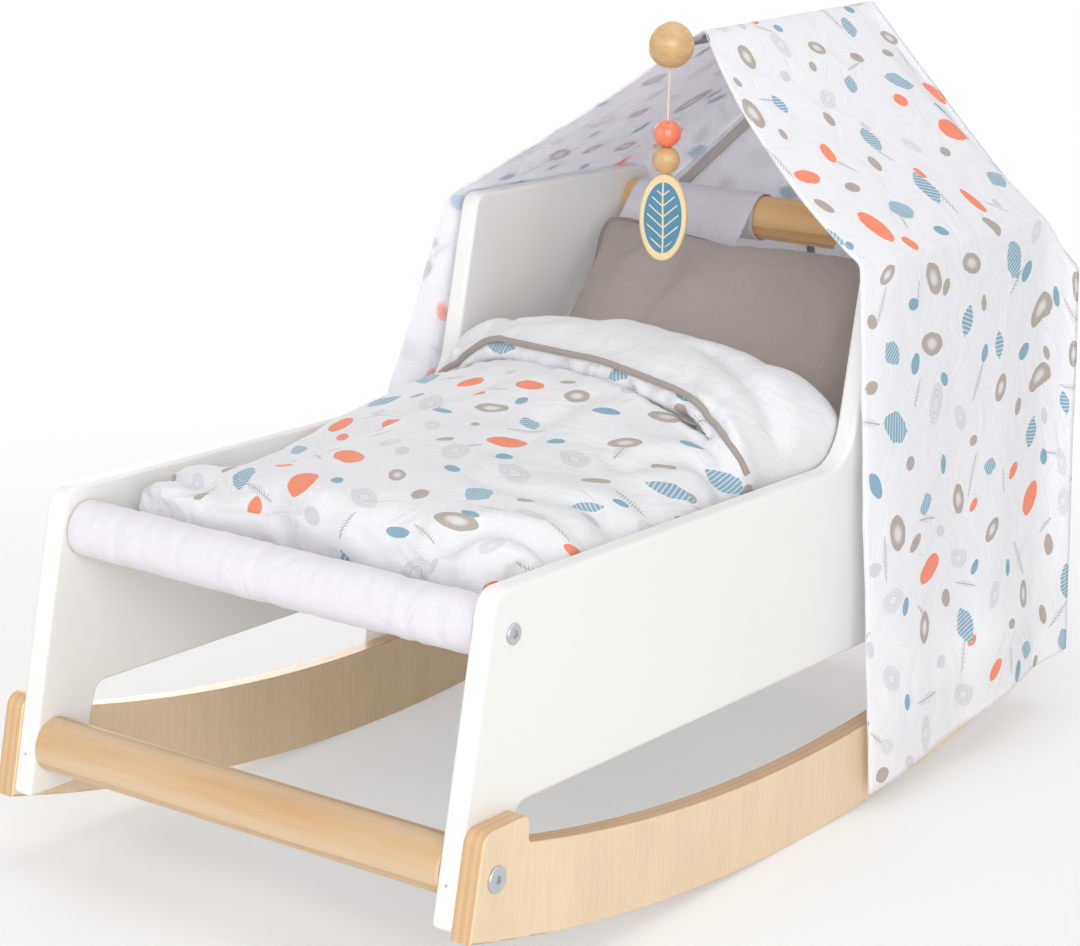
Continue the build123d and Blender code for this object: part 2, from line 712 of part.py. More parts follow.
def sling_bed():
    """The sling: sleeve, sagging sheet, head slope, two loops and the notch for the post."""
    path, slope = sling_path()
    sheet = thick_plate(
        side_face(band(path, [sling_low_radius, sling_bend_radius], sling_thickness)),
        -sling_half_width, sling_half_width,
    )
    for bar_y, bar_z in ((foot_bar_y, foot_bar_height), (head_bar_y, head_bar_height)):
        inner = sling_bar_diameter + 2 * sleeve_gap
        sheet -= along_x(inner, -sling_half_width - overrun, sling_half_width + overrun, bar_y, bar_z)
    sling = sheet + bar_ring(foot_bar_y, foot_bar_height, sling_half_width)
    sling += bar_ring(head_bar_y, head_bar_height, inner_x - head_loop_side_gap)
    notch_top = head_bar_height + sling_bar_diameter
    notch_foot = head_bar_height - notch_depth
    middle_z = (notch_top + notch_foot) / 2
    block = Box(2 * notch_half_width, 4 * sling_bar_diameter, notch_top - notch_foot)
    notch = Pos(0, head_bar_y, middle_z) * block
    lower = notch.edges().filter_by(Axis.Y).group_by(Axis.Z)[0]
    notch = fillet(lower, notch_corner_radius)
    return sling - notch


def bed_below():
    """Everything under the upper face of the sling, with the gap that soft pieces keep."""
    path, slope = sling_path()
    foot, low, bend, head = path
    foot_slope = (foot[1] - low[1]) / (low[0] - foot[0])
    far_foot = (foot[0] - sling_bar_diameter, foot[1] + sling_bar_diameter * foot_slope)
    far_head = (head[0] + sling_bar_diameter * cos(slope), head[1] + sling_bar_diameter * sin(slope))
    lift = sling_thickness / 2 + soft_gap
    corners = shifted_corners([far_foot, low, bend, far_head], lift)
    top = FilletPolyline(*corners, radius=[sling_low_radius - lift, sling_bend_radius - lift])
    end = top @ 1
    start = top @ 0
    close = Polyline((end.X, end.Y), (end.X, 0), (start.X, 0), (start.X, start.Y))
    return thick_plate(side_face(top.edges() + close.edges()), -inner_x, inner_x)


def pillow():
    """Pillow with a crown, drawn in sides and a thin seam, flat where it lies on the sling."""
    path, slope = sling_path()
    bend = path[2]
    lift = sling_thickness / 2 + soft_gap + pillow_thickness / 2 - pillow_sink
    along = Vector(0, cos(slope), sin(slope))
    up = Vector(0, -sin(slope), cos(slope))
    origin = Vector(0, bend[0], bend[1]) + up * lift + along * pillow_start
    seam = pillow_seam_thickness / 2
    faces = []
    for place, width, depth in pillow_station_shares:
        half = pillow_half_width * width
        high = max(pillow_thickness * depth / 2, 2 * seam)
        outline = [
            ThreePointArc((-half, -seam), (0, -high), (half, -seam)),
            Line((half, -seam), (half, seam)),
            ThreePointArc((half, seam), (0, high), (-half, seam)),
            Line((-half, seam), (-half, -seam)),
        ]
        plane = Plane(origin=origin + along * (pillow_length * place), x_dir=(1, 0, 0), z_dir=-along)
        faces.append(plane * make_face([line.edge() for line in outline]))
    return loft(faces) - bed_below()


def padded_section(plane, half, low, side, shoulder_x, shoulder, crown):
    """Cross outline of padding: flat base, upright sides, bulged shoulders and a crowned top."""
    dx = half - shoulder_x
    dz = shoulder - side
    bulge_x = (half + shoulder_x) / 2 + dz * shoulder_bulge_share
    bulge_z = (side + shoulder) / 2 + dx * shoulder_bulge_share
    outline = [
        Line((-half, low), (half, low)),
        Line((half, low), (half, side)),
        ThreePointArc((half, side), (bulge_x, bulge_z), (shoulder_x, shoulder)),
        ThreePointArc((shoulder_x, shoulder), (0, crown), (-shoulder_x, shoulder)),
        ThreePointArc((-shoulder_x, shoulder), (-bulge_x, bulge_z), (-half, side)),
        Line((-half, side), (-half, low)),
    ]
    return plane * make_face([line.edge() for line in outline])


def upright_plane(y, turn):
    """Upright plane across the bed at a place along it, turned about Z by degrees."""
    angle = radians(turn)
    return Plane(origin=(0, y, 0), x_dir=(cos(angle), -sin(angle), 0), z_dir=(-sin(angle), -cos(angle), 0))


def duvet_body():
    """Padding of the duvet from the foot end to the fold."""
    faces = []
    for place, width, side, shoulder_x, shoulder, crown in duvet_station_shares:
        y = duvet_front_y + place * (duvet_rear_y - duvet_front_y)
        faces.append(padded_section(
            upright_plane(y, 0),
            duvet_half_width * width,
            sling_low_height - duvet_base_drop,
            sling_low_height + duvet_side_height * side,
            duvet_half_width * shoulder_x,
            sling_low_height + duvet_crown * shoulder,
            sling_low_height + duvet_crown * crown,
        ))
    return loft(faces)


def flap_sizes(row):
    """Plane and sizes of one section of the flap, which lies askew at its front edge."""
    place, width, side, shoulder_x, shoulder, crown = row
    y = flap_front_y + place * (duvet_rear_y - flap_front_y)
    return (
        upright_plane(y, flap_skew * (1 - place)),
        duvet_half_width * width,
        sling_low_height + flap_base_height,
        sling_low_height + flap_side_height * side,
        duvet_half_width * shoulder_x,
        sling_low_height + flap_crown * shoulder,
        sling_low_height + flap_crown * crown,
    )


def duvet_flap():
    """Head end of the duvet, folded down over itself."""
    return loft([padded_section(*flap_sizes(row)) for row in flap_station_shares])


def duvet_piping():
    """Taupe piping along the edge of the flap, from board to board."""
    plane, half, low, side, shoulder_x, shoulder, crown = flap_sizes(flap_station_shares[0])
    inset = piping_diameter / 2
    corner_x = (half + shoulder_x) / 2
    points = [
        (-half + inset, side),
        (-shoulder_x, shoulder - inset),
        (0, crown - inset),
        (shoulder_x, shoulder - inset),
        (half - inset, side),
    ]
    turn = corner_x / 2
    path = FilletPolyline(*points, radius=[turn, 3 * corner_x, turn])
    route = plane * path
    start = Plane(origin=route @ 0, z_dir=route % 0)
    return sweep(start * Circle(piping_diameter / 2), path=route)


def write(name, *solids):
    """Write one named sub-part as a STEP file."""
    shape = solids[0] if len(solids) == 1 else Compound(children=list(solids))
    shape.label = name
    export_step(shape, os.path.join("parts", name + ".step"))


def build_frame():
    """Boards, rockers, bars, bolts, inserts and pins."""
    write("side_board_left", side_board(-1))
    write("side_board_right", side_board(1))
    write("rocker_left", rocker(-1))
    write("rocker_right", rocker(1))
    bore = post_bore()
    write("foot_stretcher", round_bar(stretcher_diameter, -stretcher_y, stretcher_height))
    write("head_stretcher", round_bar(stretcher_diameter, stretcher_y, stretcher_height) - bore)
    write("foot_sling_bar", round_bar(sling_bar_diameter, foot_bar_y, foot_bar_height))
    write("head_sling_bar", round_bar(sling_bar_diameter, head_bar_y, head_bar_height) - bore)
    stretcher_ends = [(s, y, stretcher_height) for s in (-1, 1) for y in (-stretcher_y, stretcher_y)]
    bar_ends = [(s, y, z) for s in (-1, 1) for y, z in bolt_places()[2:]]
    rocker_seat = (rocker_bolt_head_diameter, rocker_x)
    board_seat = (bar_bolt_head_diameter, outer_x)
    write("rocker_bolts", *[connector_bolt(*end, *rocker_seat) for end in stretcher_ends])
    write("sling_bar_bolts", *[connector_bolt(*end, *board_seat) for end in bar_ends])
    write("stretcher_inserts", *[insert(*end) for end in stretcher_ends])
    write("sling_bar_inserts", *[insert(*end) for end in bar_ends])
    write("leg_pins", leg_pin(-1), leg_pin(1))


def build_canopy():
    """Rod, ball, tent cloth, gable and binding."""
    write("canopy_rod", canopy_rod())
    write("ridge_ball", ball())
    write("canopy_cloth", canopy_cloth())
    write("canopy_gable", canopy_gable())
    write("ridge_tunnel", *ridge_tunnel())
    write("gable_seam_binding", *seam_bindings())


def build_mobile():
    """Knot, string, two beads and the medallion."""
    string_top, first, second, medallion_top = mobile_heights()
    write("string_knot", string_knot())
    write("mobile_string", mobile_string())
    write("bead_coral", bead(first))
    write("bead_natural", bead(second))
    write("leaf_medallion", leaf_medallion())


def build_bedding():
    """Sling, pillow, duvet and piping."""
    piping = duvet_piping()
    write("sling_bed", sling_bed())
    write("pillow", pillow())
    write("duvet", duvet_body() + duvet_flap() - bed_below() - piping)
    write("duvet_piping", piping)


os.makedirs("parts", exist_ok=True)
build_frame()
build_canopy()
build_mobile()
build_bedding()
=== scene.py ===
"""Doll cradle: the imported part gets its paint, wood, steel, string and cotton, for a studio view."""

import math

import bmesh
import bpy
import numpy as np
from mathutils import Matrix, Vector, noise
from mathutils.bvhtree import BVHTree


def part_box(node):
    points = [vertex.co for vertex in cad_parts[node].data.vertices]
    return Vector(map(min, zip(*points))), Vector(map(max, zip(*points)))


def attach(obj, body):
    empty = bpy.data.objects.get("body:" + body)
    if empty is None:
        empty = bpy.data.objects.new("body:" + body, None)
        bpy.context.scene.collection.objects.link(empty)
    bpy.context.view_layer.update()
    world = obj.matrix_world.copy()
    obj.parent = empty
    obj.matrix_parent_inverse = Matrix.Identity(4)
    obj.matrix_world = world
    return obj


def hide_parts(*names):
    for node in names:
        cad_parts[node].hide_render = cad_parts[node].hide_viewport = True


bl_info = {
    "name": "Doll cradle",
    "version": (1, 0, 0),
    "blender": (4, 5, 0),
    "location": "3D View > Sidebar > Doll cradle",
    "description": "Dresses a doll cradle with its finishes, tent, bedding and mobile",
    "category": "Object",
}

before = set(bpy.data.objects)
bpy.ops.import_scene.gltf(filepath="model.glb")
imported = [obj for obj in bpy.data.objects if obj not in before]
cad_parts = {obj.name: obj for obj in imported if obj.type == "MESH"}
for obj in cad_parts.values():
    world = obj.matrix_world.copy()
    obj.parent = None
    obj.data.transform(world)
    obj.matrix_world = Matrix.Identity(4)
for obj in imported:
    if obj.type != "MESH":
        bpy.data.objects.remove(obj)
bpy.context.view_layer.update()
MM = 0.001

# Camera that matches the photograph: place in metres, angles in degrees, focal length in its pixels
CAMERA_PLACE = (0.9131, -1.3360, 0.5962)
CAMERA_YAW = 35.042
CAMERA_PITCH = 14.167
CAMERA_ROLL = 1.998
PHOTO_SIZE = (1080, 946)
FOCAL_PIXELS = 2948.277
AXIS_PIXEL = (548.236, 461.064)
SENSOR_MM = 36.0

# Each lamp: name, place, what it looks at, edge length in metres, power in watts
LAMPS = (
    ("key_lamp", (1.9, -2.1, 1.0), (0.0, 0.0, 0.2), 2.4, 58.0),
    ("fill_lamp", (-1.3, -2.0, 1.0), (0.0, 0.0, 0.2), 1.8, 10.0),
    ("top_lamp", (0.1, 0.2, 2.2), (0.0, 0.0, 0.2), 2.0, 14.0),
    # Low behind the tent, so that its cloth glows
    ("back_lamp", (-1.7, 1.3, 0.6), (0.0, 0.15, 0.33), 1.2, 15.0),
)
# Sky light on the object, as a share of the white that the camera sees
SKY_STRENGTH = 0.38
FLOOR_REACH = 6.0

# Boards and bars that the cloth hangs on
BOARD_OUTER_X = 144.0 * MM
BOARD_EDGE_RADIUS = 2.5 * MM
WING_HEIGHT = 317.0 * MM
FOOT_BAR = (-263.47 * MM, 179.0 * MM)
HEAD_BAR = (239.64 * MM, 296.0 * MM)
BAR_RADIUS = 13.5 * MM

# Ridge rod and the tent cloth over it
BALL_Y = 72.8 * MM
BALL_HEIGHT = 418.2 * MM
ROD_RADIUS = 2.5 * MM
RIDGE_REAR_Y = 295.0 * MM
RIDGE_RISE = 7.0 * MM
POST_RIDGE_Y = 213.3 * MM
POST_GAP = 4.0 * MM
RIDGE_TURN = 4.25 * MM
CORNER_TURN = 4.15 * MM
CANOPY_REAR_Y = 300.0 * MM
EAVE_X = 147.5 * MM
EAVE_RADIUS = 7.0 * MM
REAR_EAVE = (155.5 * MM, 281.0 * MM)
HEM_X = 161.0 * MM
HEM_FLARE = 6.0 * MM
HEM_HEIGHT = 8.0 * MM
HEM_RISE = 33.0 * MM
ROOF_SAG = 1.6 * MM
FOLD_SPACING_SHARE = 0.4
# Front edge of each half of the tent: places along the cradle and heights, from the ridge down
RIGHT_ROOF_EDGE = MM * np.array([(108.0, 424.0), (65.0, 374.0), (42.0, 321.0)])
RIGHT_DROP_EDGE = MM * np.array([(42.0, 321.0), (60.0, 0.0)])
LEFT_ROOF_EDGE = MM * np.array([(108.0, 424.0), (88.0, 368.0), (62.0, 316.0)])
LEFT_DROP_EDGE = MM * np.array([(62.0, 316.0), (17.0, 204.0), (10.0, 0.0)])
# Where along the cradle a height of the front edge is read off
FRONT_Y = 60.0 * MM
# Behind this place the hanging sides also wander along the cradle
REAR_FOLDS_Y = 200.0 * MM
# Parts of each half from the ridge down, and the points across each
RIDGE, ROOF, EAVE, HANGING = range(4)
PART_POINTS = {HANGING: 74, EAVE: 7, ROOF: 42, RIDGE: 5}
TENT_COLUMNS = 64
# Height inside the tent that its outside faces away from
TENT_HEART_Z = 250.0 * MM

# Gable cloth and its binding
GABLE_Y = 287.25 * MM
GABLE_HEM = 175.0 * MM
GABLE_EAVE = (152.4 * MM, 287.0 * MM)
GABLE_APEX = 420.3 * MM
GABLE_APEX_HALF = 5.0 * MM
BINDING_WIDTH = 6.5 * MM
# Where the binding starts below the apex, and the height of its foot
BINDING_START = 16.0 * MM
BINDING_FOOT = 300.0 * MM

# Sling bed, side view path of its cloth
SLING_HALF_WIDTH = 131.0 * MM
HEAD_LOOP_HALF_WIDTH = 125.0 * MM
SLING_RING = BAR_RADIUS + 0.9 * MM
SLING_FOOT_DROP = 5.0 * MM
SLING_LOW = (-60.0 * MM, 150.0 * MM)
SLING_BEND = (92.0 * MM, 150.0 * MM)
SLING_LOW_RADIUS = 260.0 * MM
SLING_BEND_RADIUS = 60.0 * MM
NOTCH_HALF_WIDTH = 35.0 * MM
NOTCH_HEIGHT = 234.0 * MM
# The head slope and the loops lie beyond this place
HEAD_END_Y = 150.0 * MM

# Pillow on the head slope of the sling
PILLOW_HALF_WIDTH = 114.0 * MM
PILLOW_LENGTH = 156.0 * MM
PILLOW_START = 14.0 * MM
PILLOW_THICKNESS = 40.0 * MM
PILLOW_SINK = 4.0 * MM
PILLOW_SEAM = 3.0 * MM
PILLOW_FLANGE_SHARE = 0.045

# Duvet: its sides, the heights from which its cloth falls away, its piping and its swell before that
DUVET_SIDE_LIMIT = 131.0 * MM
DUVET_SHOULDER = 216.0 * MM
DUVET_TOP = 260.0 * MM
PIPING_RADIUS = 1.9 * MM
BODY_SWELL = 9.0 * MM
# Along the left side the duvet lies lower: places along the bed in mm and shares of the depth
HOLLOW_DEPTH = 16.0 * MM
DUVET_HOLLOW = [(-245, 0.0), (-216, 0.45), (-165, 1.0), (-135, 0.9), (-74, 0.45), (-25, 0.0)]
# The flap's piped edge: places across the bed and heights
FLAP_EDGE = MM * np.array([
    (-131, 199), (-113, 216.8), (-96, 230.7), (-80, 243.7),
    (-70, 248.9), (-55, 249.2), (-15, 250), (16, 251),
    (46, 248), (80, 244.2), (91, 239.7), (102, 231),
    (113, 222), (131, 203),
])
# Each fold pressed into the duvet, in mm: its line in plan, its depth and half its width
DUVET_FOLDS = [
    ([(-124, -222), (-84, -226), (-40, -240), (6, -252)], 7.0, 9),
    ([(-20, -268), (8, -262), (44, -264)], 4.0, 5),
    ([(128, -206), (104, -216), (84, -232)], 6.0, 6),
    ([(128, -150), (96, -166), (60, -172)], 3.2, 8),
    ([(126, -40), (104, -62), (92, -96)], 3.6, 7),
    ([(-40, -40), (-58, -84), (-64, -140)], 3.2, 10),
    ([(30, -36), (26, -80), (38, -128)], 2.4, 9),
    ([(128, 6), (100, 14), (62, 34)], 3.4, 7),
    ([(-118, 24), (-78, 30), (-30, 52)], 2.8, 8),
]

# Mobile
MEDALLION_TURN = 24.0
STRING_RADIUS = 0.8 * MM


def linear(code):
    """An sRGB hex colour as linear red, green, blue and alpha."""
    shares = [int(code[i:i + 2], 16) / 255 for i in (0, 2, 4)]
    return tuple(c / 12.92 if c <= 0.04045 else ((c + 0.055) / 1.055) ** 2.4 for c in shares) + (1.0,)


def colour(name, description, code):
    """A colour that a user may change."""
    return bpy.props.FloatVectorProperty(
        name=name, description=description, subtype="COLOR", size=4, min=0, max=1, default=linear(code)
    )


def length(name, description, default):
    """A length that a user may change, in metres."""
    return bpy.props.FloatProperty(name=name, description=description, unit="LENGTH", min=0, default=default)


class CradleColours(bpy.types.PropertyGroup):
    """Colours of the cradle's finishes."""

    paint: colour("Board paint", "Satin paint of the side boards", "F4F4F1")
    plywood: colour("Plywood face", "Lacquered poplar veneer of the rockers", "EFD7B2")
    ply_dark: colour("Plywood edge", "Cross plies on the edges of the rockers", "D2A672")
    pine_early: colour("Pine earlywood", "Pale wood between the growth rings", "DDC29D")
    pine_late: colour("Pine latewood", "Dark line of each growth ring", "CB9C67")
    oiled_early: colour("Oiled pine earlywood", "Pale wood of the sling bars", "F8CD92")
    oiled_late: colour("Oiled pine latewood", "Dark wood of the sling bars", "E6A763")
    beech: colour("Beech", "Waxed wood of the ball and the natural bead", "D6AE7A")
    coral: colour("Coral", "Lacquer of the upper bead", "FC7E58")
    print_coral: colour("Print coral", "Coral of the print", "FE9878")
    petrol: colour("Petrol", "Pale petrol of the print", "90B6C8")
    medallion_blue: colour("Medallion blue", "Painted oval of the medallion", "4A86A6")
    lime_wood: colour("Medallion wood", "Pale rim of the medallion", "EBD3A4")
    cotton: colour("White cotton", "Ground of the print and the flap", "F5F5F8")
    sling: colour("Sling cotton", "Sleeves and bed of the sling, a little lavender", "E9E5EC")
    print_taupe: colour("Print taupe", "Warm grey of the print", "BEB4AC")
    print_pale: colour("Print pale grey", "Faint grey of the print", "E0DFE3")
    print_line: colour("Print line grey", "Thin strokes of the print", "BAB9BC")
    taupe: colour("Taupe cotton", "Cover of the pillow", "B2A6A0")
    tape: colour("Taupe tape", "Piping of the duvet", "A59C95")
    binding: colour("Seam binding", "Tape over the seams inside the tent", "D0CBC6")
    string: colour("String", "Cotton string of the mobile", "ECE6DC")


class CradleSizes(bpy.types.PropertyGroup):
    """Sizes of cloth and print that the frame leaves free."""

    cloth: length("Cloth thickness", "Thickness of the drawn cotton", 1.0 * MM)
    print_cell: length("Print spacing", "Mean distance between motifs of one kind", 43.0 * MM)
    weave: length("Weave pitch", "Distance between threads, coarser than real so that it shows", 1.1 * MM)
    stitch_pitch: length("Stitch pitch", "Distance from stitch to stitch", 3.2 * MM)
    stitch_length: length("Stitch length", "Visible length of one stitch", 2.2 * MM)
    thread_radius: length("Thread radius", "Half the thickness of the sewing thread", 0.22 * MM)


def add(tree, kind, links=None, **settings):
    """One node, a shader node if its kind names no family. A link is a node, a socket or a value."""
    made = tree.nodes.new(kind if "Node" in kind else "ShaderNode" + kind)
    for name, value in settings.items():
        setattr(made, name, value)
    for place, value in (links or {}).items():
        if isinstance(value, bpy.types.Node):
            value = value.outputs[0]
        if isinstance(value, bpy.types.NodeSocket):
            tree.links.new(value, made.inputs[place])
        else:
            made.inputs[place].default_value = value
    return made


def new_material(name):
    """An empty node material and its tree."""
    made = bpy.data.materials.get(name)
    if made is None:
        made = bpy.data.materials.new(name)
    made.use_nodes = True
    made.node_tree.nodes.clear()
    return made, made.node_tree


def close_material(tree, inputs):
    """The shader with its inputs, and the output."""
    shader = add(tree, "BsdfPrincipled", inputs)
    add(tree, "OutputMaterial", {"Surface": shader})


def stretched_noise(tree, place, repeats, detail, turned=(0.0, 0.0, 0.0), distortion=0.0, **settings):
    """Noise drawn out in one direction, as grain is: its repeats per metre along each axis."""
    at = add(tree, "Mapping", {"Vector": place, "Scale": repeats, "Rotation": turned})
    return add(tree, "TexNoise", {
        "Vector": at, "Scale": 1.0, "Detail": detail, "Distortion": distortion}, **settings)


def satin_paint(colours):
    """Sprayed paint on fibreboard: smooth and even, a faint orange peel breaks up its highlights."""
    made, tree = new_material("sprayed_satin_paint_on_fibreboard")
    place = add(tree, "TexCoord").outputs["Object"]
    cloud = add(tree, "TexNoise", {"Vector": place, "Scale": 9.0, "Detail": 2.0})
    tone = add(tree, "MapRange", {"Value": cloud, "To Min": 0.96, "To Max": 1.0})
    paint = add(tree, "HueSaturation", {"Color": colours.paint[:], "Value": tone})
    # Peel of sprayed paint is about 1.5 mm from crest to crest
    peel = add(tree, "TexNoise", {"Vector": place, "Scale": 1 / (1.5 * MM), "Detail": 1.0})
    bump = add(tree, "Bump", {"Height": peel, "Strength": 0.05, "Distance": 0.1 * MM})
    gloss = add(tree, "MapRange", {"Value": cloud, "To Min": 0.36, "To Max": 0.46})
    close_material(tree, {"Base Color": paint, "Roughness": gloss, "Normal": bump, "Coat Weight": 0.1})
    return made


def lacquered_plywood(colours):
    """Poplar plywood under clear lacquer: pale upright veneer fibres, and brown plies on the edges."""
    made, tree = new_material("clear_lacquered_poplar_plywood")
    where = add(tree, "TexCoord")
    place = where.outputs["Object"]
    # Fibres of the face veneer are about 0.8 mm wide and 25 mm long
    fibres = stretched_noise(tree, place, (900.0, 1100.0, 38.0), 4.0)
    clouds = stretched_noise(tree, place, (30.0, 34.0, 9.0), 3.0)
    both = add(tree, "Math", {0: clouds, 1: 0.9, 2: fibres}, operation="MULTIPLY_ADD")
    face_tone = add(tree, "MapRange", {
        "Value": both, "From Min": 0.6, "From Max": 1.25, "To Min": 0.90, "To Max": 1.05})
    face = add(tree, "HueSaturation", {"Color": colours.plywood[:], "Value": face_tone})
    # Five plies of 2.4 mm across the board's thickness, which runs along X
    split = add(tree, "SeparateXYZ", {"Vector": place})
    across = add(tree, "Math", {0: split.outputs["X"]}, operation="ABSOLUTE")
    depth = add(tree, "Math", {0: across, 1: BOARD_OUTER_X}, operation="SUBTRACT")
    phase = add(tree, "Math", {0: depth, 1: math.pi / (2.4 * MM)}, operation="MULTIPLY")
    wave = add(tree, "Math", {0: phase}, operation="SINE")
    plies = add(tree, "MapRange", {
        "Value": wave, "From Min": -0.25, "From Max": 0.25, "To Min": 0.68, "To Max": 0.88
        }, interpolation_type="SMOOTHSTEP")
    ply = add(tree, "MixRGB", {"Fac": plies, "Color1": face, "Color2": colours.ply_dark[:]})
    facing = add(tree, "SeparateXYZ", {"Vector": where.outputs["Normal"]})
    side = add(tree, "Math", {0: facing.outputs["X"]}, operation="ABSOLUTE")
    is_face = add(tree, "MapRange", {
        "Value": side, "From Min": 0.45, "From Max": 0.8}, interpolation_type="SMOOTHSTEP")
    wood = add(tree, "MixRGB", {"Fac": is_face, "Color1": ply, "Color2": face})
    bump = add(tree, "Bump", {"Height": fibres, "Strength": 0.12, "Distance": 0.15 * MM})
    close_material(tree, {"Base Color": wood, "Roughness": 0.42, "Normal": bump, "Coat Weight": 0.15})
    return made


def ringed_dowel(name, early, late, ring, centre):
    """Turned pine under a clear finish: long growth lines with a sharp dark side, and fine fibres."""
    made, tree = new_material(name)
    place = add(tree, "TexCoord").outputs["Object"]
    # The heart of the tree lies outside the dowel, so its rings cross it as long shallow arcs
    heart = add(tree, "Mapping", {
        "Vector": place, "Location": (0.0, -centre[0] - 0.034, -centre[1] + 0.021),
        "Rotation": (0.0, 0.012, 0.02), "Scale": (0.16, 1.0, 1.0)}, vector_type="POINT")
    # Wave's rings repeat every 0.314 of its unit, and the ring width is in metres
    rings = add(tree, "TexWave", {
        "Vector": heart, "Scale": 0.314 / ring, "Distortion": 1.7, "Detail": 2.0, "Detail Scale": 0.7
        }, wave_type="RINGS", rings_direction="X", wave_profile="SAW")
    line = add(tree, "MapRange", {
        "Value": rings, "From Min": 0.3, "From Max": 0.95, "To Min": 0.0, "To Max": 0.9
        }, interpolation_type="SMOOTHSTEP")
    patch = stretched_noise(tree, place, (9.0, 60.0, 60.0), 2.0)
    depth = add(tree, "MapRange", {
        "Value": patch, "From Min": 0.3, "From Max": 0.7, "To Min": 0.35, "To Max": 1.0})
    dark = add(tree, "Math", {0: line, 1: depth}, operation="MULTIPLY")
    wood = add(tree, "MixRGB", {"Fac": dark, "Color1": early[:], "Color2": late[:]})
    fibres = stretched_noise(tree, place, (35.0, 1100.0, 1100.0), 4.0)
    tone = add(tree, "MapRange", {
        "Value": fibres, "From Min": 0.3, "From Max": 0.7, "To Min": 0.94, "To Max": 1.03})
    toned = add(tree, "HueSaturation", {"Color": wood, "Value": tone})
    bump = add(tree, "Bump", {"Height": fibres, "Strength": 0.15, "Distance": 0.15 * MM})
    close_material(tree, {"Base Color": toned, "Roughness": 0.5, "Normal": bump, "Coat Weight": 0.05})
    return made


def waxed_beech(colours):
    """Turned beech with a wax finish: warm, with short dark flecks and soft bands."""
    made, tree = new_material("waxed_turned_beech")
    place = add(tree, "TexCoord").outputs["Object"]
    bands = stretched_noise(tree, place, (160.0, 60.0, 260.0), 5.0, (0.3, 0.5, 0.2), 1.2)
    flecks = stretched_noise(tree, place, (1500.0, 380.0, 1500.0), 2.0, (0.3, 0.5, 0.2))
    dark = add(tree, "MapRange", {
        "Value": flecks, "From Min": 0.52, "From Max": 0.68, "To Min": 1.02, "To Max": 0.84})
    tone = add(tree, "MapRange", {
        "Value": bands, "From Min": 0.3, "From Max": 0.7, "To Min": 0.84, "To Max": 1.1})
    both = add(tree, "Math", {0: tone, 1: dark}, operation="MULTIPLY")
    wood = add(tree, "HueSaturation", {"Color": colours.beech[:], "Value": both})
    bump = add(tree, "Bump", {"Height": flecks, "Strength": 0.1, "Distance": 0.1 * MM})
    close_material(tree, {"Base Color": wood, "Roughness": 0.34, "Normal": bump, "Coat Weight": 0.2})
    return made


def gloss_lacquer(colours):
    """Dipped coral lacquer on a turned bead: deep gloss with small sharp highlights."""
    made, tree = new_material("dipped_gloss_lacquer")
    place = add(tree, "TexCoord").outputs["Object"]
    cloud = add(tree, "TexNoise", {"Vector": place, "Scale": 160.0, "Detail": 2.0})
    tone = add(tree, "MapRange", {"Value": cloud, "To Min": 0.95, "To Max": 1.03})
    paint = add(tree, "HueSaturation", {"Color": colours.coral[:], "Value": tone})
    bump = add(tree, "Bump", {"Height": cloud, "Strength": 0.04, "Distance": 0.2 * MM})
    close_material(tree, {
        "Base Color": paint, "Roughness": 0.22, "Normal": bump, "Coat Weight": 0.8, "Coat Roughness": 0.06})
    return made


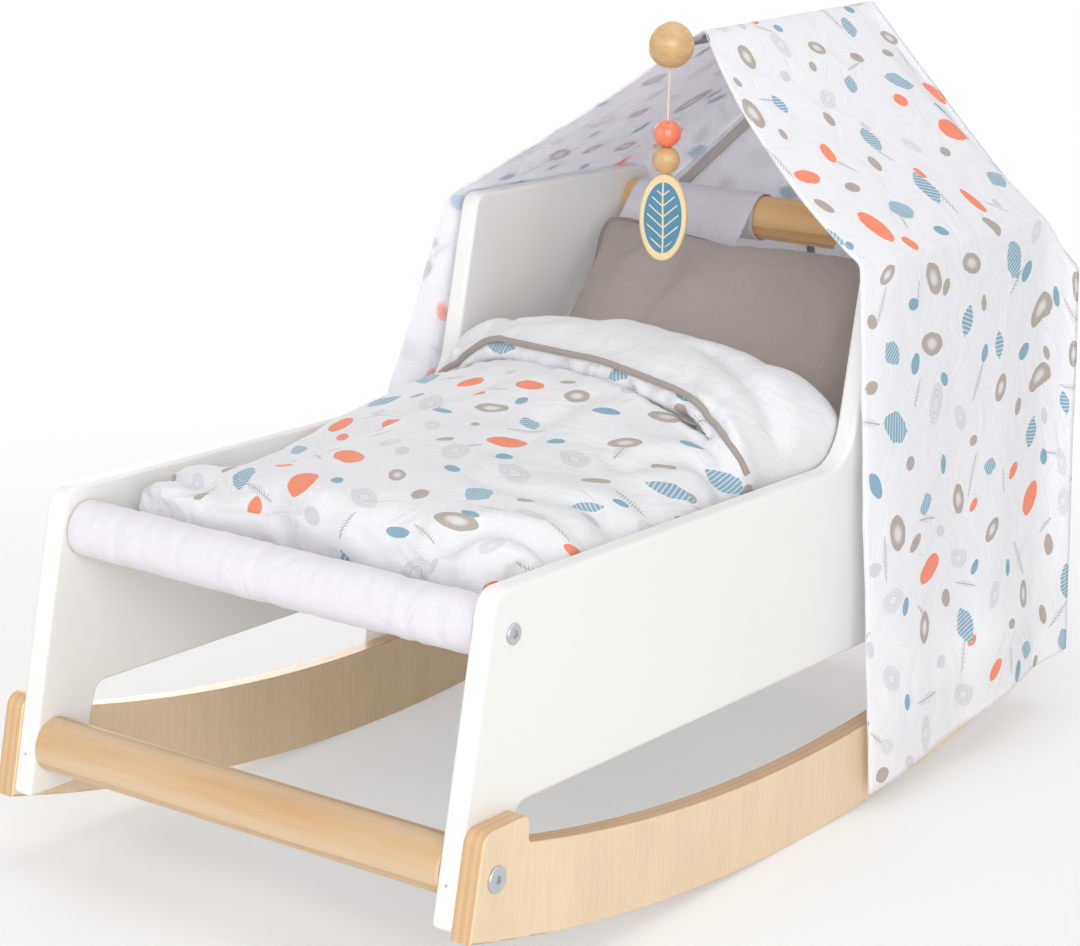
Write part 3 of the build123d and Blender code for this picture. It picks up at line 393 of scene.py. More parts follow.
def painted_medallion(colours):
    """Lime wood disc with a screen printed oval on both faces and a plain leaf left bare in it."""
    made, tree = new_material("screen_printed_lime_wood")
    low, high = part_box("leaf_medallion")
    middle = (low + high) / 2
    where = add(tree, "TexCoord")
    shifted = add(tree, "VectorMath", {0: where.outputs["Object"], 1: tuple(middle)}, operation="SUBTRACT")
    angle = -math.radians(MEDALLION_TURN)
    local = add(tree, "VectorRotate", {"Vector": shifted, "Angle": angle}, rotation_type="Z_AXIS")
    normal = add(tree, "VectorRotate", {
        "Vector": where.outputs["Normal"], "Angle": angle}, rotation_type="Z_AXIS")
    split = add(tree, "SeparateXYZ", {"Vector": local})
    # Printed oval of 22 by 41 mm
    scaled = add(tree, "VectorMath", {
        0: local, 1: (1 / (11.0 * MM), 0.0, 1 / (20.5 * MM))}, operation="MULTIPLY")
    reach = add(tree, "VectorMath", {0: scaled}, operation="LENGTH")
    inside = add(tree, "Math", {0: reach.outputs["Value"], 1: 1.0}, operation="LESS_THAN")
    facing = add(tree, "SeparateXYZ", {"Vector": normal})
    flat = add(tree, "Math", {0: facing.outputs["Y"]}, operation="ABSOLUTE")
    on_face = add(tree, "Math", {0: flat, 1: 0.9}, operation="GREATER_THAN")
    # Midrib, drawn 1 mm wide with a slight bow
    bow = add(tree, "Math", {
        0: add(tree, "Math", {0: split.outputs["Z"], 1: 90.0}, operation="MULTIPLY")}, operation="SINE")
    off_rib = add(tree, "Math", {0: bow, 1: 0.6 * MM, 2: split.outputs["X"]}, operation="MULTIPLY_ADD")
    from_rib = add(tree, "Math", {0: off_rib}, operation="ABSOLUTE")
    rib = add(tree, "Math", {0: from_rib, 1: 0.5 * MM}, operation="LESS_THAN")
    # Side veins every 6.2 mm, 0.9 mm wide, rising outwards
    rise = add(tree, "Math", {0: from_rib, 1: -0.85, 2: split.outputs["Z"]}, operation="MULTIPLY_ADD")
    row = add(tree, "Math", {0: rise, 1: 1 / (6.2 * MM)}, operation="MULTIPLY")
    phase = add(tree, "Math", {0: row}, operation="FRACT")
    vein = add(tree, "Math", {0: phase, 1: 0.15}, operation="LESS_THAN")
    short = add(tree, "Math", {0: reach.outputs["Value"], 1: 0.84}, operation="LESS_THAN")
    veins = add(tree, "Math", {0: vein, 1: short}, operation="MULTIPLY")
    bare = add(tree, "Math", {0: rib, 1: veins}, operation="MAXIMUM")
    paint = add(tree, "Math", {0: inside, 1: bare}, operation="SUBTRACT", use_clamp=True)
    painted = add(tree, "Math", {0: paint, 1: on_face}, operation="MULTIPLY")
    grain = stretched_noise(tree, where.outputs["Object"], (900.0, 900.0, 90.0), 4.0)
    tone = add(tree, "MapRange", {"Value": grain, "To Min": 0.9, "To Max": 1.08})
    wood = add(tree, "HueSaturation", {"Color": colours.lime_wood[:], "Value": tone})
    ink = add(tree, "HueSaturation", {"Color": colours.medallion_blue[:], "Value": tone})
    both = add(tree, "MixRGB", {"Fac": painted, "Color1": wood, "Color2": ink})
    close_material(tree, {"Base Color": both, "Roughness": 0.48})
    return made


def bare_metal(name, hue, roughness, lines):
    """Plain metal with drawing or rolling lines along the stock."""
    made, tree = new_material(name)
    place = add(tree, "TexCoord").outputs["Object"]
    streak = stretched_noise(tree, place, lines, 3.0)
    tone = add(tree, "MapRange", {"Value": streak, "To Min": 0.88, "To Max": 1.1})
    metal = add(tree, "HueSaturation", {"Color": linear(hue), "Value": tone})
    rough = add(tree, "MapRange", {"Value": streak, "To Min": roughness - 0.06, "To Max": roughness + 0.08})
    bump = add(tree, "Bump", {"Height": streak, "Strength": 0.08, "Distance": 0.05 * MM})
    close_material(tree, {"Base Color": metal, "Metallic": 1.0, "Roughness": rough, "Normal": bump})
    return made


def woven_height(tree, place, pitch):
    """Height of a plain weave, threads over and under at the pitch, with slubs in both directions."""
    turns = add(tree, "VectorMath", {0: place, "Scale": math.tau / pitch}, operation="SCALE")
    sines = add(tree, "VectorMath", {0: turns}, operation="SINE")
    split = add(tree, "SeparateXYZ", {"Vector": sines})
    checks = add(tree, "Math", {0: split.outputs["X"], 1: split.outputs["Y"]}, operation="MULTIPLY")
    # Slubs are thick stretches of thread, about 1.5 mm across and 15 to 20 mm long
    warp = stretched_noise(tree, place, (620.0, 55.0, 1.0), 3.0, noise_dimensions="2D")
    weft = stretched_noise(tree, place, (55.0, 620.0, 1.0), 3.0, noise_dimensions="2D")
    slubs = add(tree, "Math", {0: warp, 1: weft}, operation="ADD")
    return add(tree, "Math", {0: checks, 1: 0.22, 2: slubs}, operation="MULTIPLY_ADD")


def cotton_shader(tree, cloth, place, height, crease, through=0.0, painted_lightness=1.0):
    """Matt cotton: soft sheen at glancing angles, faint creases, shaded a little by its own threads, its
    colour scaled by painted light above one and painted shade below one.
    """
    # painted_lightness multiplies the cloth's colour: painted light above one, painted shade below one
    tone = add(tree, "MapRange", {
        "Value": height, "From Min": 0.7, "From Max": 1.3, "To Min": 0.965 * painted_lightness, "To Max": 1.015 * painted_lightness
        })
    toned = add(tree, "HueSaturation", {"Color": cloth, "Value": tone})
    # Creases from folding and washing are 30 to 40 mm apart
    rumpled = add(tree, "TexNoise", {
        "Vector": place, "Scale": 1 / (36 * MM), "Detail": 4.0, "Roughness": 0.55, "Distortion": 1.4
        }, noise_dimensions="2D")
    creased = add(tree, "Bump", {"Height": rumpled, "Strength": 1.0, "Distance": crease})
    bump = add(tree, "Bump", {"Height": height, "Strength": 0.3, "Distance": 0.22 * MM, "Normal": creased})
    face = add(tree, "BsdfPrincipled", {
        "Base Color": toned, "Roughness": 0.85, "Normal": bump, "Sheen Weight": 0.15, "Sheen Roughness": 0.5,
        "Specular IOR Level": 0.25})
    glow = add(tree, "BsdfTranslucent", {"Color": toned, "Normal": bump})
    both = add(tree, "MixShader", {0: through, 1: face, 2: glow})
    add(tree, "OutputMaterial", {"Surface": both})


def plain_cotton(name, hue, pitch, crease=0.0, painted_lightness=1.0):
    """Plain woven cotton in one dye."""
    made, tree = new_material(name)
    place = add(tree, "UVMap", uv_map="cloth")
    cotton_shader(tree, hue, place, woven_height(tree, place, pitch), crease, painted_lightness=painted_lightness)
    return made


def motif_cells(tree, place, cell, shift):
    """Scattered points in cells: the offset from the nearest one, turned, and three random numbers."""
    at = add(tree, "VectorMath", {0: place, 1: (1 / cell, 1 / cell, 0.0), 2: shift}, operation="MULTIPLY_ADD")
    cells = add(tree, "TexVoronoi", {"Vector": at, "Scale": 1.0, "Randomness": 0.4}, voronoi_dimensions="2D")
    chance = add(tree, "SeparateColor", {"Color": cells.outputs["Color"]})
    offset = add(tree, "VectorMath", {0: at, 1: cells.outputs["Position"]}, operation="SUBTRACT")
    real = add(tree, "VectorMath", {0: offset, "Scale": cell}, operation="SCALE")
    angle = add(tree, "Math", {0: chance.outputs["Red"], 1: math.pi}, operation="MULTIPLY")
    turned = add(tree, "VectorRotate", {"Vector": real, "Angle": angle}, rotation_type="Z_AXIS")
    return turned, chance


def motif_reach(tree, offset, chance, half_long, half_wide):
    """How far a place is from a motif's centre, as a share of its oval and of its pointed lens."""
    grow = add(tree, "MapRange", {"Value": chance.outputs["Green"], "To Min": 0.72, "To Max": 1.22})
    share = add(tree, "VectorMath", {0: offset, 1: (1 / half_long, 1 / half_wide, 0.0)}, operation="MULTIPLY")
    sized = add(tree, "VectorMath", {0: share, 1: grow}, operation="DIVIDE")
    size = add(tree, "VectorMath", {0: sized}, operation="ABSOLUTE")
    split = add(tree, "SeparateXYZ", {"Vector": size})
    along = add(tree, "Math", {0: split.outputs["X"], 1: split.outputs["X"]}, operation="MULTIPLY")
    oval = add(tree, "Math", {
        0: split.outputs["Y"], 1: split.outputs["Y"], 2: along}, operation="MULTIPLY_ADD")
    lens = add(tree, "Math", {0: split.outputs["Y"], 1: along}, operation="ADD")
    return oval, lens


def stripes(tree, value, spacing, share):
    """One on lines of a spacing, zero between them; a line takes the given share of the spacing."""
    count = add(tree, "Math", {0: value, 1: 1 / spacing}, operation="MULTIPLY")
    phase = add(tree, "Math", {0: count}, operation="FRACT")
    return add(tree, "Math", {0: phase, 1: share}, operation="LESS_THAN")


def printed_ground(tree, place, colours, cell):
    """Scattered print of plain ovals, striped lenses, pebbles with a pale core, ringed ovals and
    rows of short ticks, drawn in three layers."""
    wander = add(tree, "TexNoise", {"Vector": place, "Scale": 7.0, "Detail": 1.0}, noise_dimensions="2D")
    drift = add(tree, "VectorMath", {
        0: wander.outputs["Color"], 1: (28.0 * MM, 28.0 * MM, 0.0), 2: place}, operation="MULTIPLY_ADD")
    rough = add(tree, "TexNoise", {"Vector": place, "Scale": 150.0, "Detail": 1.0}, noise_dimensions="2D")
    ragged = add(tree, "MapRange", {"Value": rough, "To Min": 0.8, "To Max": 1.2})

    # Thin rows of ticks along a line, 17 to 29 mm long and 4 to 6 mm wide, on most places
    stroke, luck = motif_cells(tree, drift, cell * 1.3, (0.31, 0.83, 0.0))
    lens = motif_reach(tree, stroke, luck, 12.0 * MM, 2.5 * MM)[1]
    split = add(tree, "SeparateXYZ", {"Vector": stroke})
    slanted = add(tree, "Math", {0: split.outputs["X"], 1: split.outputs["Y"]}, operation="ADD")
    tick = stripes(tree, slanted, 2.4 * MM, 0.24)
    off_line = add(tree, "Math", {0: split.outputs["Y"]}, operation="ABSOLUTE")
    line = add(tree, "Math", {0: off_line, 1: 0.3 * MM}, operation="LESS_THAN")
    tick = add(tree, "Math", {0: tick, 1: line}, operation="MAXIMUM")
    in_row = add(tree, "Math", {0: lens, 1: 1.0}, operation="LESS_THAN")
    drawn = add(tree, "Math", {0: luck.outputs["Blue"], 1: 0.85}, operation="LESS_THAN")
    ticks = add(tree, "Math", {0: tick, 1: in_row}, operation="MULTIPLY")
    ticked = add(tree, "Math", {0: ticks, 1: drawn}, operation="MULTIPLY")
    ground = add(tree, "MixRGB", {
        "Fac": ticked, "Color1": colours.cotton[:], "Color2": colours.print_line[:]})

    # Small plain ovals, 9 to 15 mm long
    small, luck = motif_cells(tree, drift, cell, (0.56, 0.52, 0.0))
    oval = motif_reach(tree, small, luck, 6.0 * MM, 3.9 * MM)[0]
    on_dot = add(tree, "Math", {0: oval, 1: ragged}, operation="LESS_THAN")
    dye = add(tree, "ValToRGB", {"Fac": luck.outputs["Blue"]})
    set_steps(dye, [(0.0, colours.print_taupe), (0.36, colours.print_coral), (0.52, colours.petrol),
                    (0.78, colours.print_pale)])
    dotted = add(tree, "MixRGB", {"Fac": on_dot, "Color1": ground, "Color2": dye})

    # Large motifs, 16 to 27 mm long: striped lens, coral oval, pebble, ringed oval
    large, luck = motif_cells(tree, drift, cell, (0.0, 0.0, 0.0))
    oval, lens = motif_reach(tree, large, luck, 11.0 * MM, 6.6 * MM)
    kind = luck.outputs["Blue"]
    is_lens = add(tree, "Math", {0: kind, 1: 0.28}, operation="LESS_THAN")
    is_pebble = add(tree, "Math", {0: kind, 1: 0.6, 2: 0.13}, operation="COMPARE")
    is_ringed = add(tree, "Math", {0: kind, 1: 0.73}, operation="GREATER_THAN")
    reach = add(tree, "Mix", {0: is_lens, 2: oval, 3: lens}, data_type="FLOAT")
    inside = add(tree, "Math", {0: reach, 1: ragged}, operation="LESS_THAN")
    dye = add(tree, "ValToRGB", {"Fac": kind})
    set_steps(dye, [(0.0, colours.petrol), (0.28, colours.print_coral), (0.47, colours.print_taupe),
                    (0.73, colours.print_pale)])
    split = add(tree, "SeparateXYZ", {"Vector": large})
    cross_line = stripes(tree, split.outputs["X"], 2.5 * MM, 0.3)
    ring_line = stripes(tree, oval, 0.26, 0.45)
    lens_line = add(tree, "Math", {0: cross_line, 1: is_lens}, operation="MULTIPLY")
    oval_line = add(tree, "Math", {0: ring_line, 1: is_ringed}, operation="MULTIPLY")
    lined = add(tree, "Math", {0: lens_line, 1: oval_line}, operation="ADD")
    core = add(tree, "MapRange", {
        "Value": oval, "From Min": 0.0, "From Max": 0.4, "To Min": 0.75, "To Max": 0.0
        }, interpolation_type="SMOOTHSTEP")
    pale = add(tree, "Math", {0: core, 1: is_pebble}, operation="MULTIPLY")
    bleach = add(tree, "Math", {0: lined, 1: 0.7, 2: pale}, operation="MULTIPLY_ADD", use_clamp=True)
    inked = add(tree, "MixRGB", {"Fac": bleach, "Color1": dye, "Color2": colours.cotton[:]})
    return add(tree, "MixRGB", {"Fac": inside, "Color1": dotted, "Color2": inked})


def set_steps(ramp, steps):
    """Flat colour steps on a ramp: where each one starts, and its colour."""
    elements = ramp.color_ramp.elements
    ramp.color_ramp.interpolation = "CONSTANT"
    elements[0].position = steps[0][0]
    elements[0].color = steps[0][1][:]
    elements[1].position = steps[1][0]
    elements[1].color = steps[1][1][:]
    for start, hue in steps[2:]:
        elements.new(start).color = hue[:]


def printed_cotton(name, colours, sizes, strength, crease, through=0.0, painted_lightness=1.0):
    """White cotton with the scattered print; on the back of the cloth the print only shows through."""
    made, tree = new_material(name)
    place = add(tree, "UVMap", uv_map="cloth")
    printed = printed_ground(tree, place, colours, sizes.print_cell)
    cloth = add(tree, "MixRGB", {"Fac": strength, "Color1": colours.cotton[:], "Color2": printed})
    cotton_shader(tree, cloth, place, woven_height(tree, place, sizes.weave), crease, through, painted_lightness)
    return made


def twisted_string(colours):
    """Twisted cotton string: two plies that wind round each other every 3 mm."""
    made, tree = new_material("twisted_cotton_string")
    place = add(tree, "TexCoord").outputs["Object"]
    centred = add(tree, "VectorMath", {0: place, 1: (0.0, BALL_Y, 0.0)}, operation="SUBTRACT")
    split = add(tree, "SeparateXYZ", {"Vector": centred})
    angle = add(tree, "Math", {0: split.outputs["Y"], 1: split.outputs["X"]}, operation="ARCTAN2")
    wound = add(tree, "Math", {
        0: split.outputs["Z"], 1: math.tau / (1.5 * MM), 2: angle}, operation="MULTIPLY_ADD")
    ply = add(tree, "Math", {0: wound}, operation="SINE")
    # The grooves between the plies are painted darker, as painted shade
    tone = add(tree, "MapRange", {"Value": ply, "From Min": -1.0, "To Min": 0.86, "To Max": 1.02})
    thread = add(tree, "HueSaturation", {"Color": colours.string[:], "Value": tone})
    bump = add(tree, "Bump", {"Height": ply, "Strength": 0.6, "Distance": 0.3 * MM})
    close_material(tree, {"Base Color": thread, "Roughness": 0.9, "Normal": bump})
    return made


def dress(node, material):
    """A CAD piece keeps its mesh and takes a finish."""
    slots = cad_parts[node].data.materials
    slots.clear()
    slots.append(material)


def new_object(name, data):
    """An object in the scene."""
    made = bpy.data.objects.new(name, data)
    bpy.context.scene.collection.objects.link(made)
    return made


def set_cloth_uv(mesh, uv):
    """Cloth coordinates for each vertex."""
    layer = mesh.uv_layers.get("cloth") or mesh.uv_layers.new(name="cloth")
    corners = np.zeros(len(mesh.loops), np.int32)
    mesh.loops.foreach_get("vertex_index", corners)
    layer.data.foreach_set("uv", np.asarray(uv, np.float32)[corners].ravel())


def mesh_piece(name, vertices, faces, materials, cloth_uv=None):
    """A smooth mesh object in the row frame, with cloth coordinates for each vertex if given."""
    mesh = bpy.data.meshes.new(name)
    mesh.from_pydata([tuple(v) for v in vertices], [], [tuple(f) for f in faces])
    if cloth_uv is not None:
        set_cloth_uv(mesh, cloth_uv)
    for material in materials:
        mesh.materials.append(material)
    mesh.shade_smooth()
    mesh.update()
    return new_object(name, mesh)


def grid_faces(rows, columns, closed=False):
    """Quads of a grid of vertices, row by row; a closed grid joins its last column to its first."""
    faces = []
    for i in range(rows - 1):
        for j in range(columns if closed else columns - 1):
            k = (j + 1) % columns
            faces.append((i * columns + j, i * columns + k, (i + 1) * columns + k, (i + 1) * columns + j))
    return faces


def settle_modifiers(piece):
    """Turn what the modifiers make into the piece's own mesh."""
    evaluated = piece.evaluated_get(bpy.context.evaluated_depsgraph_get())
    mesh = bpy.data.meshes.new_from_object(evaluated)
    piece.modifiers.clear()
    old = piece.data
    piece.data = mesh
    bpy.data.meshes.remove(old)
    mesh.name = piece.name
    return piece


def thicken(piece, thickness, inner_material=0):
    """Give a cloth surface its thickness, half to each side."""
    shell = piece.modifiers.new("Thickness", "SOLIDIFY")
    shell.thickness = thickness
    shell.offset = 0.0
    shell.use_even_offset = True
    shell.material_offset = inner_material
    return settle_modifiers(piece)


def surface_area(points):
    """Area of a grid of points."""
    a = points[1:, :-1] - points[:-1, :-1]
    b = points[:-1, 1:] - points[:-1, :-1]
    c = points[1:, :-1] - points[1:, 1:]
    d = points[:-1, 1:] - points[1:, 1:]
    halves = np.linalg.norm(np.cross(a, b), axis=2) + np.linalg.norm(np.cross(c, d), axis=2)
    return float(halves.sum() / 2)


def smoothstep(value):
    """Eased ramp from 0 to 1."""
    t = np.clip(value, 0.0, 1.0)
    return t * t * (3 - 2 * t)


def rumple(points, scale, seed):
    """Smooth noise from -1 to 1 at each point."""
    shift = Vector((seed, 2 * seed, 3 * seed))
    flat = points.reshape(-1, 3)
    values = [noise.noise(Vector(p) / scale + shift) for p in flat]
    return np.array(values).reshape(points.shape[:-1])


def ridge_height(y):
    """Height of the ridge rod's centre line."""
    return BALL_HEIGHT + (y - BALL_Y) * RIDGE_RISE / (RIDGE_REAR_Y - BALL_Y)


def edge_place(side, height):
    """Where the front edge of one half of the tent is at a height."""
    roof = RIGHT_ROOF_EDGE if side > 0 else LEFT_ROOF_EDGE
    drop = RIGHT_DROP_EDGE if side > 0 else LEFT_DROP_EDGE
    if height < roof[-1, 1]:
        return float(np.interp(height, drop[::-1, 1], drop[::-1, 0]))
    bow = np.polyfit(roof[:, 1], roof[:, 0], 2)
    return float(np.polyval(bow, min(height, roof[0, 1])))


def canopy_folds(side, share):
    """How far the hem stands out in its soft folds, from 0 to 1, at a share of the tent's length."""
    turn = math.tau * share / FOLD_SPACING_SHARE
    wave = 0.53 - 0.3 * math.cos(turn - math.pi / 2) if side > 0 else 0.52 + 0.27 * math.cos(turn)
    return wave + (1 - wave) * float(smoothstep((share - 0.86) / 0.14))


def canopy_point(side, part, t, y):
    """Point of one half of the tent, at a share of the way down one of its parts."""
    share = y / CANOPY_REAR_Y
    ridge_z = ridge_height(y)
    corner = (BOARD_OUTER_X - BOARD_EDGE_RADIUS, WING_HEIGHT - BOARD_EDGE_RADIUS)
    span = math.hypot(corner[0], ridge_z - corner[1])
    pitch = math.atan2(ridge_z - corner[1], corner[0]) + math.asin((RIDGE_TURN - CORNER_TURN) / span)
    wing_z = corner[1] + (CORNER_TURN - (EAVE_X - corner[0]) * math.sin(pitch)) / math.cos(pitch)
    rear = float(smoothstep((share - 0.87) / 0.13))
    eave_x = EAVE_X + rear * (REAR_EAVE[0] - EAVE_X)
    eave_z = wing_z + rear * (REAR_EAVE[1] - wing_z)
    span = math.hypot(eave_x, ridge_z - eave_z)
    pitch = math.atan2(ridge_z - eave_z, eave_x) + math.asin(RIDGE_TURN / span)
    if part == RIDGE:
        turn = pitch * t
        return side * RIDGE_TURN * math.sin(turn), y, ridge_z + RIDGE_TURN * math.cos(turn)
    hem_x = HEM_X + canopy_folds(side, share) * HEM_FLARE
    hem_z = HEM_HEIGHT + max(share, 0.0) ** 1.4 * HEM_RISE
    down = math.atan2(eave_z - hem_z, hem_x - eave_x)
    reach = EAVE_RADIUS * math.tan((down - pitch) / 2)
    first = (eave_x - reach * math.cos(pitch), eave_z + reach * math.sin(pitch))
    last = (eave_x + reach * math.cos(down), eave_z - reach * math.sin(down))
    if part == ROOF:
        start = (RIDGE_TURN * math.sin(pitch), ridge_z + RIDGE_TURN * math.cos(pitch))
        sag = ROOF_SAG * math.sin(math.pi * t)
        x = start[0] + t * (first[0] - start[0]) - sag * math.sin(pitch)
        return side * x, y, start[1] + t * (first[1] - start[1]) - sag * math.cos(pitch)
    if part == EAVE:
        centre = (first[0] - EAVE_RADIUS * math.sin(pitch), first[1] - EAVE_RADIUS * math.cos(pitch))
        turn = pitch + t * (down - pitch)
        return side * (centre[0] + EAVE_RADIUS * math.sin(turn)), y, centre[1] + EAVE_RADIUS * math.cos(turn)
    return side * (last[0] + t * (hem_x - last[0])), y, last[1] + t * (hem_z - last[1])


def canopy_grid(columns):
    """Grid of the whole tent cloth, from the left hem over the ridge to the right hem."""
    steps = [(HANGING, 1.0)]
    for part, count in PART_POINTS.items():
        steps += [(part, t) for t in np.linspace(1, 0, count)[1:]]
    places = [(-1, part, t) for part, t in steps] + [(1, part, t) for part, t in reversed(steps[:-1])]
    rows = []
    for side, part, t in places:
        front = edge_place(side, canopy_point(side, part, t, FRONT_Y)[2])
        ys = front + (CANOPY_REAR_Y - front) * np.linspace(0, 1, columns)
        rows.append([canopy_point(side, part, t, y) for y in ys])
    points = np.array(rows)
    hanging = np.array([t if part == HANGING else 0.0 for side, part, t in places])[:, None]
    side = np.array([s for s, part, t in places])[:, None]
    points[..., 0] += side * hanging * 1.6 * MM * rumple(points, 55 * MM, 3.1)
    upright = points * np.array([1.0, 1.0, 0.16])
    points[..., 0] += side * np.minimum(3 * hanging, 1) * 0.8 * MM * rumple(upright, 24 * MM, 9.2)
    points[..., 1] += hanging * 1.2 * MM * rumple(points, 80 * MM, 7.7) * (points[..., 1] > REAR_FOLDS_Y)
    near_front = np.exp(-12 * np.linspace(0, 1, columns))[None, :]
    points[..., 1] += near_front * np.minimum(6 * hanging, 1) * 1.1 * MM * rumple(points, 17 * MM, 4.8)
    roof = np.array([math.sin(math.pi * t) if part == ROOF else 0.0 for s, part, t in places])[:, None]
    points[..., 2] += roof * MM * (rumple(points, 60 * MM, 5.3) + 0.4 * rumple(points, 22 * MM, 1.9))
    return points


def run_lengths(line):
    """How far along a line of points each of them lies."""
    return np.concatenate([[0], np.cumsum(np.linalg.norm(np.diff(line, axis=0), axis=1))])


def cloth_lengths(points):
    """Cloth coordinates of a grid: distance across its middle column and along each row."""
    across = run_lengths(points[:, points.shape[1] // 2])
    uv = np.zeros(points.shape[:2] + (2,))
    uv[..., 0] = across[:, None]
    uv[..., 1] = points[..., 1]
    return uv.reshape(-1, 2)


def seen_itself(tree):
    """One for rays from the camera or off a gloss, zero for rays that only light the object."""
    path = add(tree, "LightPath")
    return add(tree, "Math", {
        0: path.outputs["Is Camera Ray"], 1: path.outputs["Is Glossy Ray"]}, operation="MAXIMUM")


def studio_floor():
    """Matt white studio paper that keeps the shadow and fades into the white behind it."""
    made, tree = new_material("matt_studio_paper")
    place = add(tree, "TexCoord").outputs["Object"]
    away = add(tree, "VectorMath", {0: place}, operation="LENGTH")
    far = add(tree, "MapRange", {
        "Value": away.outputs["Value"], "From Min": 0.3, "From Max": 1.0, "To Min": 0.35
        }, interpolation_type="SMOOTHSTEP")
    fade = add(tree, "Math", {0: far, 1: seen_itself(tree)}, operation="MULTIPLY")
    paper = add(tree, "BsdfDiffuse", {"Color": linear("FBFBFB")})
    white = add(tree, "Emission", {"Strength": 1.0})
    mixed = add(tree, "MixShader", {0: fade, 1: paper, 2: white})
    add(tree, "OutputMaterial", {"Surface": mixed})
    return made


def photo_camera():
    """Camera that matches the photograph."""
    yaw, pitch, roll = (math.radians(angle) for angle in (CAMERA_YAW, CAMERA_PITCH, CAMERA_ROLL))
    ahead = Vector((-math.sin(yaw) * math.cos(pitch), math.cos(yaw) * math.cos(pitch), -math.sin(pitch)))
    level = Vector((math.cos(yaw), math.sin(yaw), 0.0))
    above = level.cross(ahead)
    right = math.cos(roll) * level + math.sin(roll) * above
    up = -math.sin(roll) * level + math.cos(roll) * above
    data = bpy.data.cameras.new("camera")
    data.sensor_width = SENSOR_MM
    data.lens = FOCAL_PIXELS / PHOTO_SIZE[0] * SENSOR_MM
    data.shift_x = (PHOTO_SIZE[0] / 2 - AXIS_PIXEL[0]) / PHOTO_SIZE[0]
    data.shift_y = (AXIS_PIXEL[1] - PHOTO_SIZE[1] / 2) / PHOTO_SIZE[0]
    data.clip_end = 20.0
    camera = new_object("camera", data)
    turned = Matrix((right, up, -ahead)).transposed().to_4x4()
    camera.matrix_world = Matrix.Translation(CAMERA_PLACE) @ turned
    return camera


def studio_lamp(name, place, target, edge, power):
    """A square lamp that looks at its target."""
    light = bpy.data.lights.new(name, "AREA")
    light.size = edge
    light.energy = power
    lamp = new_object(name, light)
    lamp.location = place
    lamp.visible_camera = False
    lamp.rotation_mode = "QUATERNION"
    lamp.rotation_quaternion = (Vector(target) - Vector(place)).to_track_quat("-Z", "Y")


def studio_world():
    """White for the camera and for glosses, and a weaker sky on the object."""
    world = bpy.data.worlds.new("studio")
    world.use_nodes = True
    tree = world.node_tree
    tree.nodes.clear()
    strength = add(tree, "MapRange", {"Value": seen_itself(tree), "To Min": SKY_STRENGTH, "To Max": 1.0})
    sky = add(tree, "Background", {"Color": (1.0, 1.0, 1.0, 1.0), "Strength": strength})
    add(tree, "OutputWorld", {"Surface": sky})
    return world


class CRADLE_OT_stage(bpy.types.Operator):
    """Camera, floor, lamps and world of the studio view"""

    bl_idname = "cradle.stage"
    bl_label = "Studio"

    def execute(self, context):
        scene = context.scene
        scene.camera = photo_camera()
        corners = [(FLOOR_REACH * x, FLOOR_REACH * y, 0) for x, y in ((-1, -1), (1, -1), (1, 1), (-1, 1))]
        floor = mesh_piece("studio_floor", corners, [(0, 1, 2, 3)], [studio_floor()])
        for lamp in LAMPS:
            studio_lamp(*lamp)
        scene.world = studio_world()
        scene.view_settings.view_transform = "Standard"
        return {"FINISHED"}


class CRADLE_OT_mobile(bpy.types.Operator):
    """String with its knot, two beads and the leaf medallion"""

    bl_idname = "cradle.mobile"
    bl_label = "Mobile"

    def execute(self, context):
        colours = context.scene.cradle_colours
        low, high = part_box("mobile_string")
        drop = high.z - low.z
        data = bpy.data.curves.new("hanging_string", "CURVE")
        data.dimensions = "3D"
        spline = data.splines.new("NURBS")
        shares = (0.0, 0.3, 0.65, 1.0)
        spline.points.add(len(shares) - 1)
        for point, share in zip(spline.points, shares):
            point.co = (0.0, BALL_Y, high.z - share * drop, 1.0)
        spline.order_u = 3
        spline.use_endpoint_u = True
        data.bevel_depth = STRING_RADIUS
        data.bevel_resolution = 3
        data.use_fill_caps = True
        data.materials.append(twisted_string(colours))
        string = new_object("hanging_string", data)
        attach(string, "mobile")
        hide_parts("mobile_string")
        beech = waxed_beech(colours)
        dress("ridge_ball", beech)
        dress("bead_natural", beech)
        dress("bead_coral", gloss_lacquer(colours))
        dress("leaf_medallion", painted_medallion(colours))
        knot = tied_knot()
        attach(knot, "mobile_knot")
        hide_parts("string_knot")
        return {"FINISHED"}


def tube_points(path, radius, sides, closed=False):
    """Rings of points around a path, as one array of rings."""
    rings = []
    count = len(path)
    for i, place in enumerate(path):
        before = path[i - 1] if i > 0 or closed else place
        after = path[(i + 1) % count] if i < count - 1 or closed else place
        along = (Vector(after) - Vector(before)).normalized()
        guide = Vector((0, 0, 1)) if abs(along.z) < 0.8 else Vector((1, 0, 0))
        first = along.cross(guide).normalized()
        second = along.cross(first)
        turns = [math.tau * k / sides for k in range(sides)]
        rings.append([Vector(place) + radius * (math.cos(a) * first + math.sin(a) * second) for a in turns])
    return rings


def tied_knot():
    """Overhand knot in the string, as a three lobed loop of the same string."""
    low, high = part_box("string_knot")
    middle = (low + high) / 2
    room = (high.z - low.z) / 2
    thick = 0.62 * STRING_RADIUS
    grow = (room - thick) / 3.0
    steps, sides = 72, 8
    path = []
    for k in range(steps):
        a = math.tau * k / steps
        bend = 2 + math.cos(3 * a)
        lobe = Vector((bend * math.cos(2 * a), bend * math.sin(2 * a), 1.6 * math.sin(3 * a)))
        path.append(middle + grow * lobe)
    rings = tube_points(path, thick, sides, closed=True)
    vertices = [p for ring in rings for p in ring]
    faces = grid_faces(steps, sides, closed=True)
    last = (steps - 1) * sides
    faces += [(last + j, last + (j + 1) % sides, (j + 1) % sides, j) for j in range(sides)]
    knot = mesh_piece("tied_knot", vertices, faces, [bpy.data.materials["twisted_cotton_string"]])
    make_outward(knot)
    return knot


